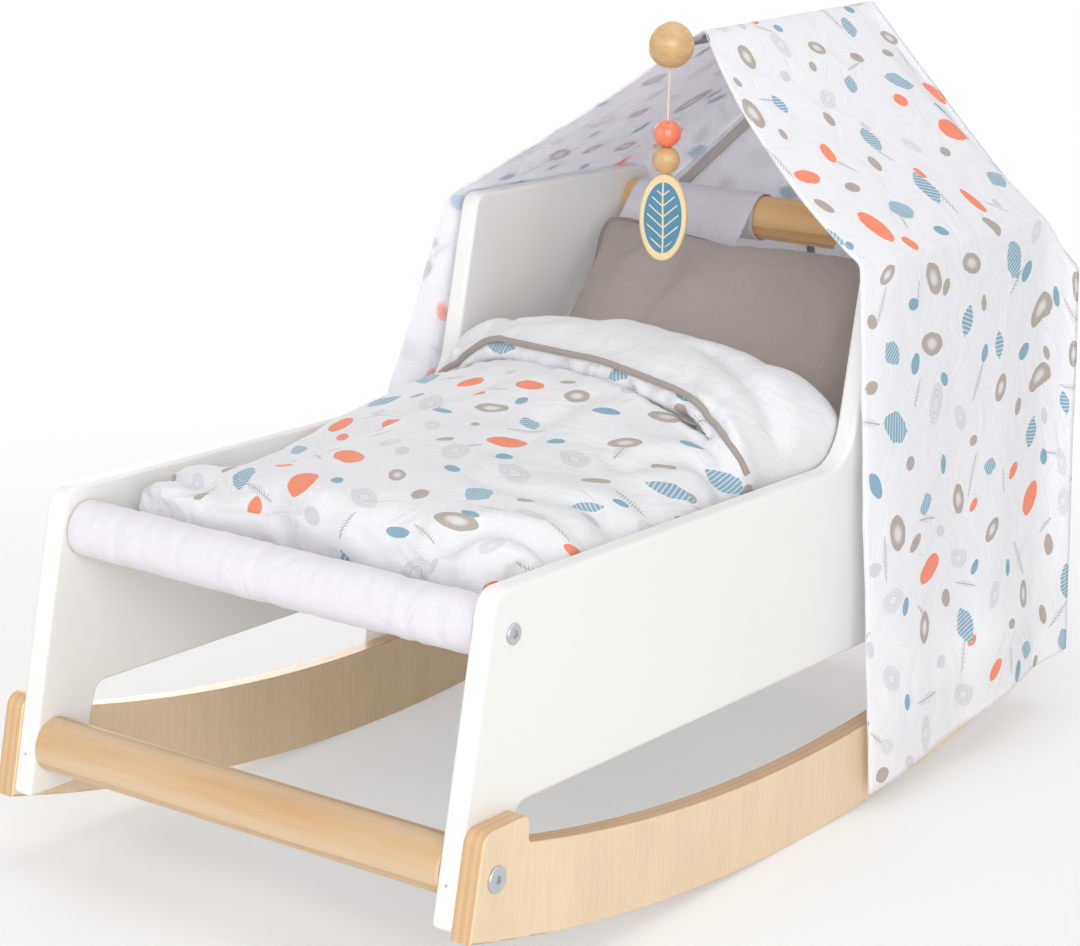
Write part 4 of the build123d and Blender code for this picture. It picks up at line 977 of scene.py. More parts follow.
def make_outward(piece):
    """Merge doubles and point all faces outwards."""
    work = bmesh.new()
    work.from_mesh(piece.data)
    bmesh.ops.remove_doubles(work, verts=work.verts, dist=0.01 * MM)
    bmesh.ops.recalc_face_normals(work, faces=work.faces)
    work.to_mesh(piece.data)
    work.free()


class CRADLE_OT_woodwork(bpy.types.Operator):
    """Painted boards, plywood rockers and turned bars"""

    bl_idname = "cradle.woodwork"
    bl_label = "Boards, rockers and bars"

    def execute(self, context):
        colours = context.scene.cradle_colours
        paint = satin_paint(colours)
        plywood = lacquered_plywood(colours)
        for side in ("left", "right"):
            dress("side_board_" + side, paint)
            dress("rocker_" + side, plywood)
        # Each bar: node, name of its finish, its two wood tones and its ring width
        pale = (colours.pine_early, colours.pine_late, 7.0 * MM)
        warm = (colours.oiled_early, colours.oiled_late, 5.0 * MM)
        bars = [
            ("foot_stretcher", "clear_lacquered_pine_dowel", pale),
            ("head_stretcher", "clear_lacquered_pine_dowel_head", pale),
            ("foot_sling_bar", "oiled_pine_dowel_foot", warm),
            ("head_sling_bar", "oiled_pine_dowel", warm),
        ]
        for node, name, (early, late, ring) in bars:
            low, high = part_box(node)
            centre = ((low.y + high.y) / 2, (low.z + high.z) / 2)
            dress(node, ringed_dowel(name, early, late, ring, centre))
        return {"FINISHED"}


class CRADLE_OT_metalwork(bpy.types.Operator):
    """Bolts, inserts, pins and the canopy rod"""

    bl_idname = "cradle.metalwork"
    bl_label = "Metal fittings"

    def execute(self, context):
        zinc = bare_metal("bright_zinc_plated_steel", "C9CCD0", 0.3, (900.0, 900.0, 900.0))
        rod = bare_metal("cold_drawn_steel_rod", "9FA1A4", 0.32, (2200.0, 60.0, 60.0))
        brass = bare_metal("turned_brass", "C9A45A", 0.34, (1500.0, 300.0, 300.0))
        for node in ("rocker_bolts", "sling_bar_bolts", "leg_pins"):
            dress(node, zinc)
        for node in ("stretcher_inserts", "sling_bar_inserts"):
            dress(node, brass)
        dress("canopy_rod", rod)
        return {"FINISHED"}


def stitch_tree():
    """Geometry nodes that lay short thread stitches end to end along a line."""
    tree = bpy.data.node_groups.get("stitch_line")
    if tree is not None:
        return tree
    tree = bpy.data.node_groups.new("stitch_line", "GeometryNodeTree")
    face = tree.interface
    face.new_socket("Line", in_out="INPUT", socket_type="NodeSocketGeometry")
    for name in ("Stitch pitch", "Stitch length", "Thread radius"):
        face.new_socket(name, in_out="INPUT", socket_type="NodeSocketFloat")
    face.new_socket("Thread", in_out="INPUT", socket_type="NodeSocketMaterial")
    face.new_socket("Stitches", in_out="OUTPUT", socket_type="NodeSocketGeometry")
    given = add(tree, "NodeGroupInput")
    line = add(tree, "GeometryNodeMeshToCurve", {"Mesh": given.outputs["Line"]})
    spaced = add(tree, "GeometryNodeResampleCurve", {
        "Curve": line, "Length": given.outputs["Stitch pitch"]}, mode="LENGTH")
    along = add(tree, "GeometryNodeInputTangent")
    turn = add(tree, "FunctionNodeAlignEulerToVector", {"Vector": along}, axis="Z")
    thread = add(tree, "GeometryNodeMeshCylinder", {
        "Vertices": 5, "Radius": given.outputs["Thread radius"], "Depth": given.outputs["Stitch length"]
        }, fill_type="TRIANGLE_FAN")
    placed = add(tree, "GeometryNodeInstanceOnPoints", {
        "Points": spaced, "Instance": thread, "Rotation": turn})
    real = add(tree, "GeometryNodeRealizeInstances", {"Geometry": placed})
    dyed = add(tree, "GeometryNodeSetMaterial", {"Geometry": real, "Material": given.outputs["Thread"]})
    add(tree, "NodeGroupOutput", {"Stitches": dyed})
    return tree


def sew(name, lines, sizes, material, body):
    """Stitches along several lines of points, as one piece on one body."""
    vertices = []
    edges = []
    for line in lines:
        start = len(vertices)
        vertices += [tuple(p) for p in line]
        edges += [(start + i, start + i + 1) for i in range(len(line) - 1)]
    mesh = bpy.data.meshes.new(name)
    mesh.from_pydata(vertices, edges, [])
    piece = new_object(name, mesh)
    tree = stitch_tree()
    modifier = piece.modifiers.new("Stitches", "NODES")
    modifier.node_group = tree
    values = {"Stitch pitch": sizes.stitch_pitch, "Stitch length": sizes.stitch_length,
              "Thread radius": sizes.thread_radius, "Thread": material}
    for item in tree.interface.items_tree:
        if item.item_type == "SOCKET" and item.in_out == "INPUT" and item.name in values:
            modifier[item.identifier] = values[item.name]
    settle_modifiers(piece)
    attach(piece, body)
    return piece


class CRADLE_OT_canopy(bpy.types.Operator):
    """Tent cloth, gable, binding and the tunnel on the ridge rod"""

    bl_idname = "cradle.canopy"
    bl_label = "Tent canopy"

    def execute(self, context):
        colours = context.scene.cradle_colours
        sizes = context.scene.cradle_sizes
        crease = 1.6 * MM
        # Both faces are painted lighter than the cotton, the inside most, as painted light for the lit,
        # glowing tent cloth
        outside = printed_cotton(
            "printed_cotton_voile", colours, sizes, 1.0, crease, through=0.22, painted_lightness=1.13)
        inside = printed_cotton(
            "printed_cotton_voile_reverse", colours, sizes, 0.22, crease, through=0.5, painted_lightness=1.2)
        points = canopy_grid(TENT_COLUMNS)
        faces = grid_faces(len(points), TENT_COLUMNS)
        uv = cloth_lengths(points)
        tent = mesh_piece("tent_cloth", points.reshape(-1, 3), faces, [inside, outside], uv)
        thicken(tent, sizes.cloth, 1)
        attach(tent, "canopy")
        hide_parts("canopy_cloth")
        thread = plain_cotton("sewing_thread_white", linear("E6E6E8"), sizes.weave)
        lift = 0.55 * sizes.cloth
        lines = [raised(line, lift) for line in (points[:, 1], points[:, -2], points[2], points[-3])]
        sew("tent_hem_stitches", lines, sizes, thread, "canopy")
        gable, gable_area = gable_cloth(outside, inside, sizes)
        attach(gable, "canopy")
        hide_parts("canopy_gable")
        tape = plain_cotton("taupe_bias_tape_binding", colours.binding[:], sizes.weave)
        binding = gable_binding(tape)
        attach(binding, "canopy")
        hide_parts("gable_seam_binding")
        tunnel = ridge_tunnel(plain_cotton("plain_woven_white_cotton", colours.cotton[:], sizes.weave))
        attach(tunnel, "canopy")
        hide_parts("ridge_tunnel")
        return {"FINISHED"}


def raised(line, lift):
    """A line across or along the tent, raised a little off the outside of the cloth."""
    out = line - np.array([0.0, 0.0, TENT_HEART_Z])
    out[:, 1] = 0.0
    out /= np.linalg.norm(out, axis=1)[:, None]
    return line + lift * out


def gable_cloth(outside, inside, sizes):
    """Back cloth of the tent, from the ridge to its hem behind the head end."""
    rows, columns = 60, 72
    heights = np.linspace(GABLE_HEM, GABLE_APEX, rows)
    rise = np.clip((heights - GABLE_EAVE[1]) / (GABLE_APEX - GABLE_EAVE[1]), 0, 1)
    half = GABLE_EAVE[0] + (GABLE_APEX_HALF - GABLE_EAVE[0]) * rise
    shares = np.linspace(-1, 1, columns)
    points = np.zeros((rows, columns, 3))
    points[..., 0] = half[:, None] * shares[None, :]
    points[..., 2] = heights[:, None]
    slack = (1 - shares[None, :] ** 2) * (1 - rise[:, None])
    points[..., 1] = GABLE_Y + slack * 1.5 * MM * (1 + rumple(points, 60 * MM, 2.2))
    uv = np.stack([points[..., 0] + 0.8, points[..., 2] + 0.4], axis=-1).reshape(-1, 2)
    cloth = mesh_piece("gable_cloth", points.reshape(-1, 3), grid_faces(rows, columns), [inside, outside], uv)
    thicken(cloth, sizes.cloth, 1)
    return cloth, surface_area(points)


def gable_binding(tape):
    """Two lengths of bias tape over the seams where gable and roof meet."""
    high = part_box("gable_seam_binding")[1]
    rows, columns = 40, 7
    vertices = []
    faces = []
    for side in (-1, 1):
        head = np.array([side * GABLE_APEX_HALF, GABLE_APEX])
        foot = np.array([side * (GABLE_EAVE[0] - EAVE_RADIUS), GABLE_EAVE[1]])
        run = (foot - head) / np.linalg.norm(foot - head)
        inward = np.array([-side * abs(run[1]), -abs(run[0])])
        start = head + run * BINDING_START
        end = head + (foot - head) * (head[1] - BINDING_FOOT) / (head[1] - foot[1])
        for share in np.linspace(0, 1, rows):
            for across in np.linspace(0, 1, columns):
                place = start + share * (end - start) + inward * BINDING_WIDTH * across
                bulge = 0.5 * MM * math.sin(math.pi * across)
                vertices.append((place[0], high.y - 0.3 * MM - bulge, place[1]))
        base = len(vertices) - rows * columns
        faces += [tuple(base + v for v in face) for face in grid_faces(rows, columns)]
    uv = [(v[0], v[2]) for v in vertices]
    binding = mesh_piece("seam_binding", vertices, faces, [tape], uv)
    thicken(binding, 0.6 * MM)
    return binding


def ridge_tunnel(cloth):
    """Sewn tunnel round the ridge rod, gathered a little, with a gap where the post comes up."""
    low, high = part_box("ridge_tunnel")
    radius = ROD_RADIUS + 0.5 * MM
    sides = 20
    vertices = []
    faces = []
    uv = []
    for y_from, y_to in ((low.y, POST_RIDGE_Y - POST_GAP), (POST_RIDGE_Y + POST_GAP, high.y)):
        count = max(int((y_to - y_from) / (1.5 * MM)), 4)
        base = len(vertices)
        for i in range(count):
            y = y_from + (y_to - y_from) * i / (count - 1)
            for j in range(sides):
                turn = math.tau * j / sides
                swell = 0.22 * MM * noise.noise(Vector((math.cos(turn), math.sin(turn), y / (4 * MM))))
                reach = radius + 0.1 * MM + swell
                vertices.append((reach * math.sin(turn), y, ridge_height(y) + reach * math.cos(turn)))
                uv.append((turn * radius, y))
        faces += [tuple(base + v for v in face) for face in grid_faces(count, sides, closed=True)]
    tunnel = mesh_piece("rod_tunnel", vertices, faces, [cloth], uv)
    thicken(tunnel, 0.4 * MM)
    return tunnel


def around(bar, angle):
    """Point of the sling's turn round a bar, at an angle from the head end."""
    return bar[0] + SLING_RING * math.cos(angle), bar[1] + SLING_RING * math.sin(angle)


def sling_line():
    """Side view of the sling's middle surface: points every few millimetres, sleeves included."""
    foot_angle = math.asin(-SLING_FOOT_DROP / SLING_RING)
    foot = around(FOOT_BAR, foot_angle)
    away = (HEAD_BAR[0] - SLING_BEND[0], HEAD_BAR[1] - SLING_BEND[1])
    span = math.hypot(*away)
    slope = math.atan2(away[1], away[0]) + math.asin(SLING_RING / span)
    reach = math.sqrt(span ** 2 - SLING_RING ** 2)
    head = (SLING_BEND[0] + reach * math.cos(slope), SLING_BEND[1] + reach * math.sin(slope))
    line = [around(FOOT_BAR, a) for a in np.arange(foot_angle - math.tau, foot_angle, 0.2)]
    line.append(foot)
    corners = [foot, SLING_LOW, SLING_BEND, head]
    for corner, radius in ((1, SLING_LOW_RADIUS), (2, SLING_BEND_RADIUS)):
        line += rounded_corner(corners[corner - 1], corners[corner], corners[corner + 1], radius)
    line.append(head)
    line += [around(HEAD_BAR, slope + math.pi / 2 - a) for a in np.arange(0.2, math.tau, 0.2)]
    return even_line(np.array(line), 3.0 * MM), slope


def rounded_corner(before, corner, after, radius):
    """Points of the arc that rounds a corner of a path."""
    a = np.array(before) - corner
    b = np.array(after) - corner
    a = a / np.linalg.norm(a)
    b = b / np.linalg.norm(b)
    half = math.acos(float(np.clip(a @ b, -1, 1))) / 2
    reach = radius / math.tan(half)
    middle = (a + b) / np.linalg.norm(a + b)
    centre = np.array(corner) + middle * radius / math.sin(half)
    first = np.array(corner) + a * reach - centre
    last = np.array(corner) + b * reach - centre
    turn = math.pi - 2 * half
    steps = max(int(turn * radius / (4 * MM)), 3)
    points = []
    for k in range(steps + 1):
        t = k / steps
        blend = (math.sin((1 - t) * turn) * first + math.sin(t * turn) * last) / math.sin(turn)
        points.append(tuple(centre + blend))
    return points


def even_line(line, step):
    """The same line with its points at even distances."""
    lengths = run_lengths(line)
    places = np.linspace(0, lengths[-1], int(lengths[-1] / step) + 1)
    return np.stack([np.interp(places, lengths, line[:, k]) for k in range(2)], axis=1)


def sling_grid(line):
    """Grid of the sling's cloth along its side view, gathered at the foot bar and narrower at its loops.
    Also the places of its columns."""
    columns = 132
    across = np.linspace(-SLING_HALF_WIDTH, SLING_HALF_WIDTH, columns)
    across[np.argmin(abs(across - NOTCH_HALF_WIDTH))] = NOTCH_HALF_WIDTH
    across[np.argmin(abs(across + NOTCH_HALF_WIDTH))] = -NOTCH_HALF_WIDTH
    points = np.zeros((len(line), columns, 3))
    points[..., 0] = across[None, :]
    points[..., 1] = line[:, None, 0]
    points[..., 2] = line[:, None, 1]
    out = np.gradient(line, axis=0)
    out = np.stack([-out[:, 1], out[:, 0]], axis=1)
    out /= np.linalg.norm(out, axis=1)[:, None]
    creases = points * np.array([1.0, 0.35, 0.35])
    drape = rumple(creases, 13 * MM, 4.4) * 0.3 * MM + rumple(points, 45 * MM, 1.4) * 0.5 * MM
    # Cloth gathers in fine ridges where it turns round the foot bar
    ring = np.hypot(line[:, 0] - FOOT_BAR[0], line[:, 1] - FOOT_BAR[1]) - SLING_RING
    gather = 1 - smoothstep((ring - 2 * MM) / (26 * MM))
    ridges = rumple(points * np.array([1.0, 0.22, 0.22]), 7 * MM, 3.3)
    drape += gather[:, None] * 0.9 * MM * np.maximum(ridges, -0.3)
    drape = np.clip(drape, -0.2 * MM, 1.2 * MM)
    points[..., 1] += drape * out[:, None, 0]
    points[..., 2] += drape * out[:, None, 1]
    narrow = smoothstep((line[:, 1] - NOTCH_HEIGHT + 12 * MM) / (24 * MM)) * (line[:, 0] > HEAD_END_Y)
    points[..., 0] *= 1 - (1 - HEAD_LOOP_HALF_WIDTH / SLING_HALF_WIDTH) * narrow[:, None]
    return points, across


def outside_notch(line, across):
    """Faces of the grid, without those between the two loops of the head end."""
    columns = len(across)
    keep = []
    for face in grid_faces(len(line), columns):
        row, column = divmod(face[0], columns)
        in_notch = abs((across[column] + across[column + 1]) / 2) < NOTCH_HALF_WIDTH
        if not (in_notch and line[row, 1] > NOTCH_HEIGHT and line[row, 0] > HEAD_END_Y):
            keep.append(face)
    return keep


class CRADLE_OT_sling(bpy.types.Operator):
    """Sling bed with its foot sleeve and two head loops"""

    bl_idname = "cradle.sling"
    bl_label = "Sling bed"

    def execute(self, context):
        colours = context.scene.cradle_colours
        sizes = context.scene.cradle_sizes
        cotton = plain_cotton("plain_woven_lavender_white_cotton", colours.sling[:], sizes.weave, 1.2 * MM)
        line = sling_line()[0]
        points, across = sling_grid(line)
        lengths = run_lengths(line)
        uv = np.stack(np.meshgrid(across + 0.5, lengths), axis=-1).reshape(-1, 2)
        faces = outside_notch(line, across)
        sling = mesh_piece("sling_cloth", points.reshape(-1, 3), faces, [cotton], uv)
        work = bmesh.new()
        work.from_mesh(sling.data)
        loose = [v for v in work.verts if not v.link_faces]
        bmesh.ops.delete(work, geom=loose, context="VERTS")
        area = sum(f.calc_area() for f in work.faces)
        work.to_mesh(sling.data)
        work.free()
        thicken(sling, sizes.cloth)
        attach(sling, "frame")
        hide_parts("sling_bed")
        return {"FINISHED"}


def copied_solid(node, name, shrink):
    """A merged copy of a CAD soft solid, drawn in a little, as the start of a padded piece."""
    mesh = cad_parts[node].data.copy()
    mesh.name = name
    work = bmesh.new()
    work.from_mesh(mesh)
    bmesh.ops.remove_doubles(work, verts=work.verts, dist=0.02 * MM)
    bmesh.ops.recalc_face_normals(work, faces=work.faces)
    work.normal_update()
    for vertex in work.verts:
        vertex.co -= vertex.normal * shrink
    work.to_mesh(mesh)
    work.free()
    return new_object(name, mesh)


def voxel_skin(piece, voxel):
    """Even quads over the whole surface."""
    skin = piece.modifiers.new("Skin", "REMESH")
    skin.mode = "VOXEL"
    skin.voxel_size = voxel
    return settle_modifiers(piece)


def set_points(piece, points):
    """Put a mesh's vertices in new places."""
    piece.data.vertices.foreach_set("co", np.asarray(points, np.float32).ravel())
    piece.data.update()


def get_points(piece):
    """The places of a mesh's vertices."""
    return np.array([v.co for v in piece.data.vertices])


def puff(piece, pressure, shrink, reach, frames):
    """Fill a closed cover with air as cloth; no point moves further than the reach."""
    start = get_points(piece)
    cloth = piece.modifiers.new("Filling", "CLOTH")
    cloth.settings.quality = 6
    cloth.settings.mass = 0.15
    cloth.settings.tension_stiffness = 20
    cloth.settings.compression_stiffness = 20
    cloth.settings.bending_stiffness = 0.3
    cloth.settings.use_pressure = True
    cloth.settings.uniform_pressure_force = pressure
    cloth.settings.shrink_min = shrink
    cloth.settings.effector_weights.gravity = 0
    cloth.collision_settings.use_collision = False
    cloth.point_cache.frame_start = 1
    cloth.point_cache.frame_end = frames
    scene = bpy.context.scene
    for step in range(1, frames + 1):
        scene.frame_set(step)
    settle_modifiers(piece)
    scene.frame_set(1)
    moved = get_points(piece) - start
    far = np.linalg.norm(moved, axis=1)
    moved *= np.minimum(1.0, reach / np.maximum(far, 1e-9))[:, None]
    set_points(piece, start + moved)
    return piece


def smooth_finer(piece, levels):
    """Subdivide for a smooth outline."""
    finer = piece.modifiers.new("Finer", "SUBSURF")
    finer.levels = levels
    finer.render_levels = levels
    return settle_modifiers(piece)


def pillow_cover(cotton):
    """Sewn cover that is domed inside its flat edge. Also the vertices of its rim, above and below,
    and how far in each vertex lies, from 0 at the edge to 1 in the middle."""
    rows, columns = 60, 86
    a = np.linspace(-1, 1, columns)[None, :]
    b = np.linspace(-1, 1, rows)[:, None]
    # Corners are rounded and the sides pull in between them
    pull_x = 1 - 0.03 * (1 - b ** 2) - 0.026 * np.abs(b) ** 22
    pull_y = 1 - 0.025 * (1 - a ** 2) - 0.026 * np.abs(a) ** 22
    x = PILLOW_HALF_WIDTH * a * pull_x
    y = PILLOW_LENGTH / 2 * b * pull_y
    half = PILLOW_THICKNESS / 2
    # A flat sewn edge runs round the filled part
    filled_a = np.minimum(np.abs(a) / (1 - PILLOW_FLANGE_SHARE), 1)
    filled_b = np.minimum(np.abs(b) / (1 - 1.4 * PILLOW_FLANGE_SHARE), 1)
    dome = (1 - filled_a ** 3.0) ** 0.62 * (1 - filled_b ** 2.6) ** 0.62
    high = PILLOW_SEAM / 2 + (half - PILLOW_SEAM / 2 - 1.5 * MM) * dome
    top = np.stack([x + 0 * b, y + 0 * a, high], axis=-1)
    under = top * np.array([1.0, 1.0, -1.0])
    vertices = np.concatenate([top.reshape(-1, 3), under.reshape(-1, 3)])
    count = rows * columns
    faces = grid_faces(rows, columns)
    faces += [tuple(count + v for v in reversed(face)) for face in grid_faces(rows, columns)]
    rim = [*range(columns)] + [i * columns + columns - 1 for i in range(1, rows)]
    rim += [(rows - 1) * columns + j for j in range(columns - 2, -1, -1)]
    rim += [i * columns for i in range(rows - 2, 0, -1)]
    faces += [(rim[i], count + rim[i], count + rim[(i + 1) % len(rim)], rim[(i + 1) % len(rim)])
              for i in range(len(rim))]
    pillow = mesh_piece("filled_pillow", vertices, faces, [cotton], vertices[:, :2] + 0.3)
    make_outward(pillow)
    inner = ((1 - np.abs(x / PILLOW_HALF_WIDTH)) * (1 - np.abs(2 * y / PILLOW_LENGTH))).ravel()
    return pillow, rim, [count + v for v in rim], np.concatenate([inner, inner])


def wrinkled(points, inner):
    """Points of the pillow with valleys and pulls in its cover, and a slightly wavy edge."""
    half = PILLOW_THICKNESS / 2
    soft = smoothstep((inner - 0.01) / 0.1)
    folds = rumple(points * np.array([1.0, 0.3, 0.3]), 26 * MM, 5.5)
    pulls = rumple(points * np.array([1.0, 0.4, 0.4]), 11 * MM, 1.2)
    valleys = 8.5 * np.minimum(folds, 0.15)
    points[:, 2] += np.sign(points[:, 2]) * soft * MM * (valleys + (1 - 0.6 * soft) * 2.6 * pulls)
    points[:, 1] += (1 - soft) * 0.9 * MM * rumple(points, 19 * MM, 2.6)
    points[:, 2] = np.clip(points[:, 2], -half + PILLOW_SINK, half + 1.0 * MM)
    return points


def piped_seam(middle, up, material):
    """Piping round the pillow, outside the middle line of its edge."""
    centre = middle.mean(axis=0)
    waved = middle + 0.012 * (middle - centre) + 1.2 * MM * rumple(middle, 16 * MM, 6.6)[:, None] * up
    sides = 8
    rings = tube_points([tuple(p) for p in waved], 0.65 * PILLOW_SEAM, sides, closed=True)
    rings.append(rings[0])
    seam_uv = [(i * 3 * MM, j * MM) for i in range(len(rings)) for j in range(sides)]
    seam = mesh_piece("pillow_seam", [p for ring in rings for p in ring],
                      grid_faces(len(rings), sides, closed=True), [material], seam_uv)
    make_outward(seam)
    return seam


class CRADLE_OT_pillow(bpy.types.Operator):
    """Taupe pillow with a sewn edge, filled by simulation"""

    bl_idname = "cradle.pillow"
    bl_label = "Pillow"

    def execute(self, context):
        colours = context.scene.cradle_colours
        sizes = context.scene.cradle_sizes
        cotton = plain_cotton("plain_woven_taupe_cotton", colours.taupe[:], sizes.weave, 1.0 * MM)
        # The piping takes the same taupe cotton painted darker, as painted shade on the sewn edge
        painted_shade_taupe = plain_cotton("taupe_cotton_painted_shade", colours.taupe[:], sizes.weave, 0.0, 0.72)
        pillow, rim_over, rim_under, inner = pillow_cover(cotton)
        puff(pillow, pressure=3.0, shrink=-0.04, reach=6 * MM, frames=22)
        points = wrinkled(get_points(pillow), inner)
        slope = sling_line()[1]
        along = np.array([0.0, math.cos(slope), math.sin(slope)])
        up = np.array([0.0, -math.sin(slope), math.cos(slope)])
        # It lies on the sling's cloth of 1.5 mm, with 0.3 mm of air
        lift = 0.75 * MM + 0.3 * MM + PILLOW_THICKNESS / 2 - PILLOW_SINK
        origin = np.array([0.0, *SLING_BEND]) + up * lift + along * (PILLOW_START + PILLOW_LENGTH / 2)
        placed = origin + points[:, :1] * np.array([1.0, 0, 0]) + points[:, 1:2] * along + points[:, 2:] * up
        set_points(pillow, placed)
        seam = piped_seam((placed[rim_over] + placed[rim_under]) / 2, up, painted_shade_taupe)
        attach(seam, "pillow")
        smooth_finer(pillow, 1)
        pillow.data.shade_smooth()
        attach(pillow, "pillow")
        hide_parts("pillow")
        return {"FINISHED"}


def piping_line(count):
    """Centre line of the piping in the frame, from board to board."""
    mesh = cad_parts["duvet_piping"].data
    ends = [(mesh.vertices[a].co, mesh.vertices[b].co) for a, b in (e.vertices for e in mesh.edges)]
    points = np.array([a.lerp(b, t) for a, b in ends for t in np.linspace(0, 1, 60)])
    places = np.linspace(PIPING_RADIUS - DUVET_SIDE_LIMIT, DUVET_SIDE_LIMIT - PIPING_RADIUS, count)
    reach = places[1] - places[0]
    return np.array([points[abs(points[:, 0] - x) <= reach].mean(axis=0) for x in places])


def line_distance(points, line):
    """How far each point is from a line of points; plan lines have two coordinates."""
    here = points[:, :line.shape[1]]
    nearest = np.full(len(points), np.inf)
    for a, b in zip(line[:-1], line[1:]):
        share = np.clip((here - a) @ (b - a) / ((b - a) @ (b - a)), 0, 1)
        nearest = np.minimum(nearest, np.linalg.norm(here - a - share[:, None] * (b - a), axis=1))
    return nearest


def filled_duvet(edge):
    """Even copy of the duvet's solid, filled as cloth except beside its piped edge."""
    duvet = copied_solid("duvet", "filled_duvet", 1.2 * MM)
    voxel_skin(duvet, 4.2 * MM)
    start = get_points(duvet)
    puff(duvet, pressure=2.5, shrink=-0.03, reach=6 * MM, frames=20)
    moved = get_points(duvet) - start
    kept = smoothstep((line_distance(start, edge) - 5 * MM) / (16 * MM))
    points = start + moved * kept[:, None]
    points[:, 0] = np.clip(points[:, 0], -DUVET_SIDE_LIMIT, DUVET_SIDE_LIMIT)
    set_points(duvet, points)
    return smooth_finer(duvet, 1)


def fold_duvet(duvet, edge):
    """Folds, soft waves and the fine wrinkles that the stitched piping pulls into the duvet."""
    points = get_points(duvet)
    normals = np.array([v.normal for v in duvet.data.vertices])
    behind = points[:, 1] - np.interp(points[:, 0], edge[:, 0], edge[:, 1])
    # The piped edge takes its own line, and the flap behind it follows
    heights = np.interp(edge[:, 0], FLAP_EDGE[:, 0], FLAP_EDGE[:, 1])
    heights[3:-3] = np.convolve(heights, np.full(7, 1 / 7), mode="valid")
    shift = np.interp(points[:, 0], edge[:, 0], heights - edge[:, 2])
    edge[:, 2] = heights
    follow = np.where(behind > 0, smoothstep(1 - behind / (60 * MM)), smoothstep(1 + behind / (10 * MM)))
    points[:, 2] += shift * follow * smoothstep((points[:, 2] - 185 * MM) / (15 * MM))
    from_edge = line_distance(points, edge)
    below = np.interp(points[:, 0], edge[:, 0], edge[:, 2]) - points[:, 2]
    upper = smoothstep((normals[:, 2] - 0.1) / 0.5)
    # In front of the edge the padding swells up, which leaves a gap under the flap
    front = smoothstep((-behind - 1.5 * MM) / (4 * MM)) * smoothstep((behind + 90 * MM) / (75 * MM))
    points[:, 2] += BODY_SWELL * front * upper * np.maximum(1 - (points[:, 0] / (126 * MM)) ** 2, 0)
    lift = 2.4 * MM * rumple(points, 70 * MM, 6.1) + 0.9 * MM * rumple(points, 27 * MM, 2.9)
    lift += 0.8 * MM * rumple(points * np.array([1.0, 0.25, 0.5]), 14 * MM, 8.3)
    for line, depth_mm, width_mm in DUVET_FOLDS:
        depth, width = depth_mm * MM, width_mm * MM
        away = line_distance(points, MM * np.array(line))
        lift -= depth * np.exp(-(away / width) ** 2)
        lift += 0.4 * depth * np.exp(-((away - 2.2 * width) / (1.2 * width)) ** 2)
    lift *= smoothstep(from_edge / (18 * MM))
    pulled = rumple(points * np.array([1.0, 0.3, 0.3]), 8 * MM, 4.1)
    lift += 0.9 * MM * pulled * np.exp(-from_edge / (20 * MM)) * smoothstep((from_edge - 2 * MM) / (5 * MM))
    points += normals * (lift * upper)[:, None]
    # Left of the middle the padding has slid down towards the foot end
    places, shares = np.transpose(DUVET_HOLLOW)
    along = np.interp(points[:, 1], places * MM, shares)
    aside = smoothstep((-points[:, 0] - 28 * MM) / (58 * MM))
    upper_side = smoothstep((points[:, 2] - 165 * MM) / (25 * MM))
    points[:, 2] -= HOLLOW_DEPTH * aside * smoothstep(along) * upper_side
    # Under the piping the print shows on a crumpled strip, and below that the flap draws back
    wall = smoothstep((-normals[:, 1] - 0.2) / 0.35) * (abs(behind) < 15 * MM) * (below > 0)
    ends = 0.6 + 0.4 * smoothstep((abs(points[:, 0]) - 40 * MM) / (40 * MM))
    draw = 13.0 * MM * ends * smoothstep((below - 10 * MM) / (4 * MM))
    roll = 1.6 * MM * np.exp(-((below - 6 * MM) / (3.5 * MM)) ** 2)
    crumple = 2.4 * MM * rumple(points, 9 * MM, 7.4) * smoothstep(below / (5 * MM))
    points[:, 1] += wall * (draw - roll + crumple)
    points[:, 2] -= wall * 0.4 * draw
    points[:, 0] = np.clip(points[:, 0], -DUVET_SIDE_LIMIT, DUVET_SIDE_LIMIT)
    set_points(duvet, points)


def duvet_uv(points):
    """Cloth coordinates: the plan, let out where the duvet falls away at its sides and ends."""
    side_drop = np.maximum(DUVET_SHOULDER - points[:, 2], 0)
    outer = smoothstep((abs(points[:, 0]) - 55 * MM) / (50 * MM))
    drop = np.maximum(DUVET_TOP - points[:, 2], 0)
    across = points[:, 0] + np.sign(points[:, 0]) * 0.8 * outer * side_drop
    return np.stack([across, points[:, 1] - 0.9 * drop], axis=1) + 1.3


def plain_side(mesh, edge):
    """One for faces of the duvet's plain lining, behind the piping and underneath, and zero elsewhere."""
    centres = np.array([p.center for p in mesh.polygons])
    normals = np.array([p.normal for p in mesh.polygons])
    behind = centres[:, 1] - np.interp(centres[:, 0], edge[:, 0], edge[:, 1])
    above = centres[:, 2] - np.interp(centres[:, 0], edge[:, 0], edge[:, 2])
    plain = (behind + 0.6 * above > 0) | ((normals[:, 2] < -0.5) & (centres[:, 2] < 180 * MM))
    return plain.astype(np.int32)


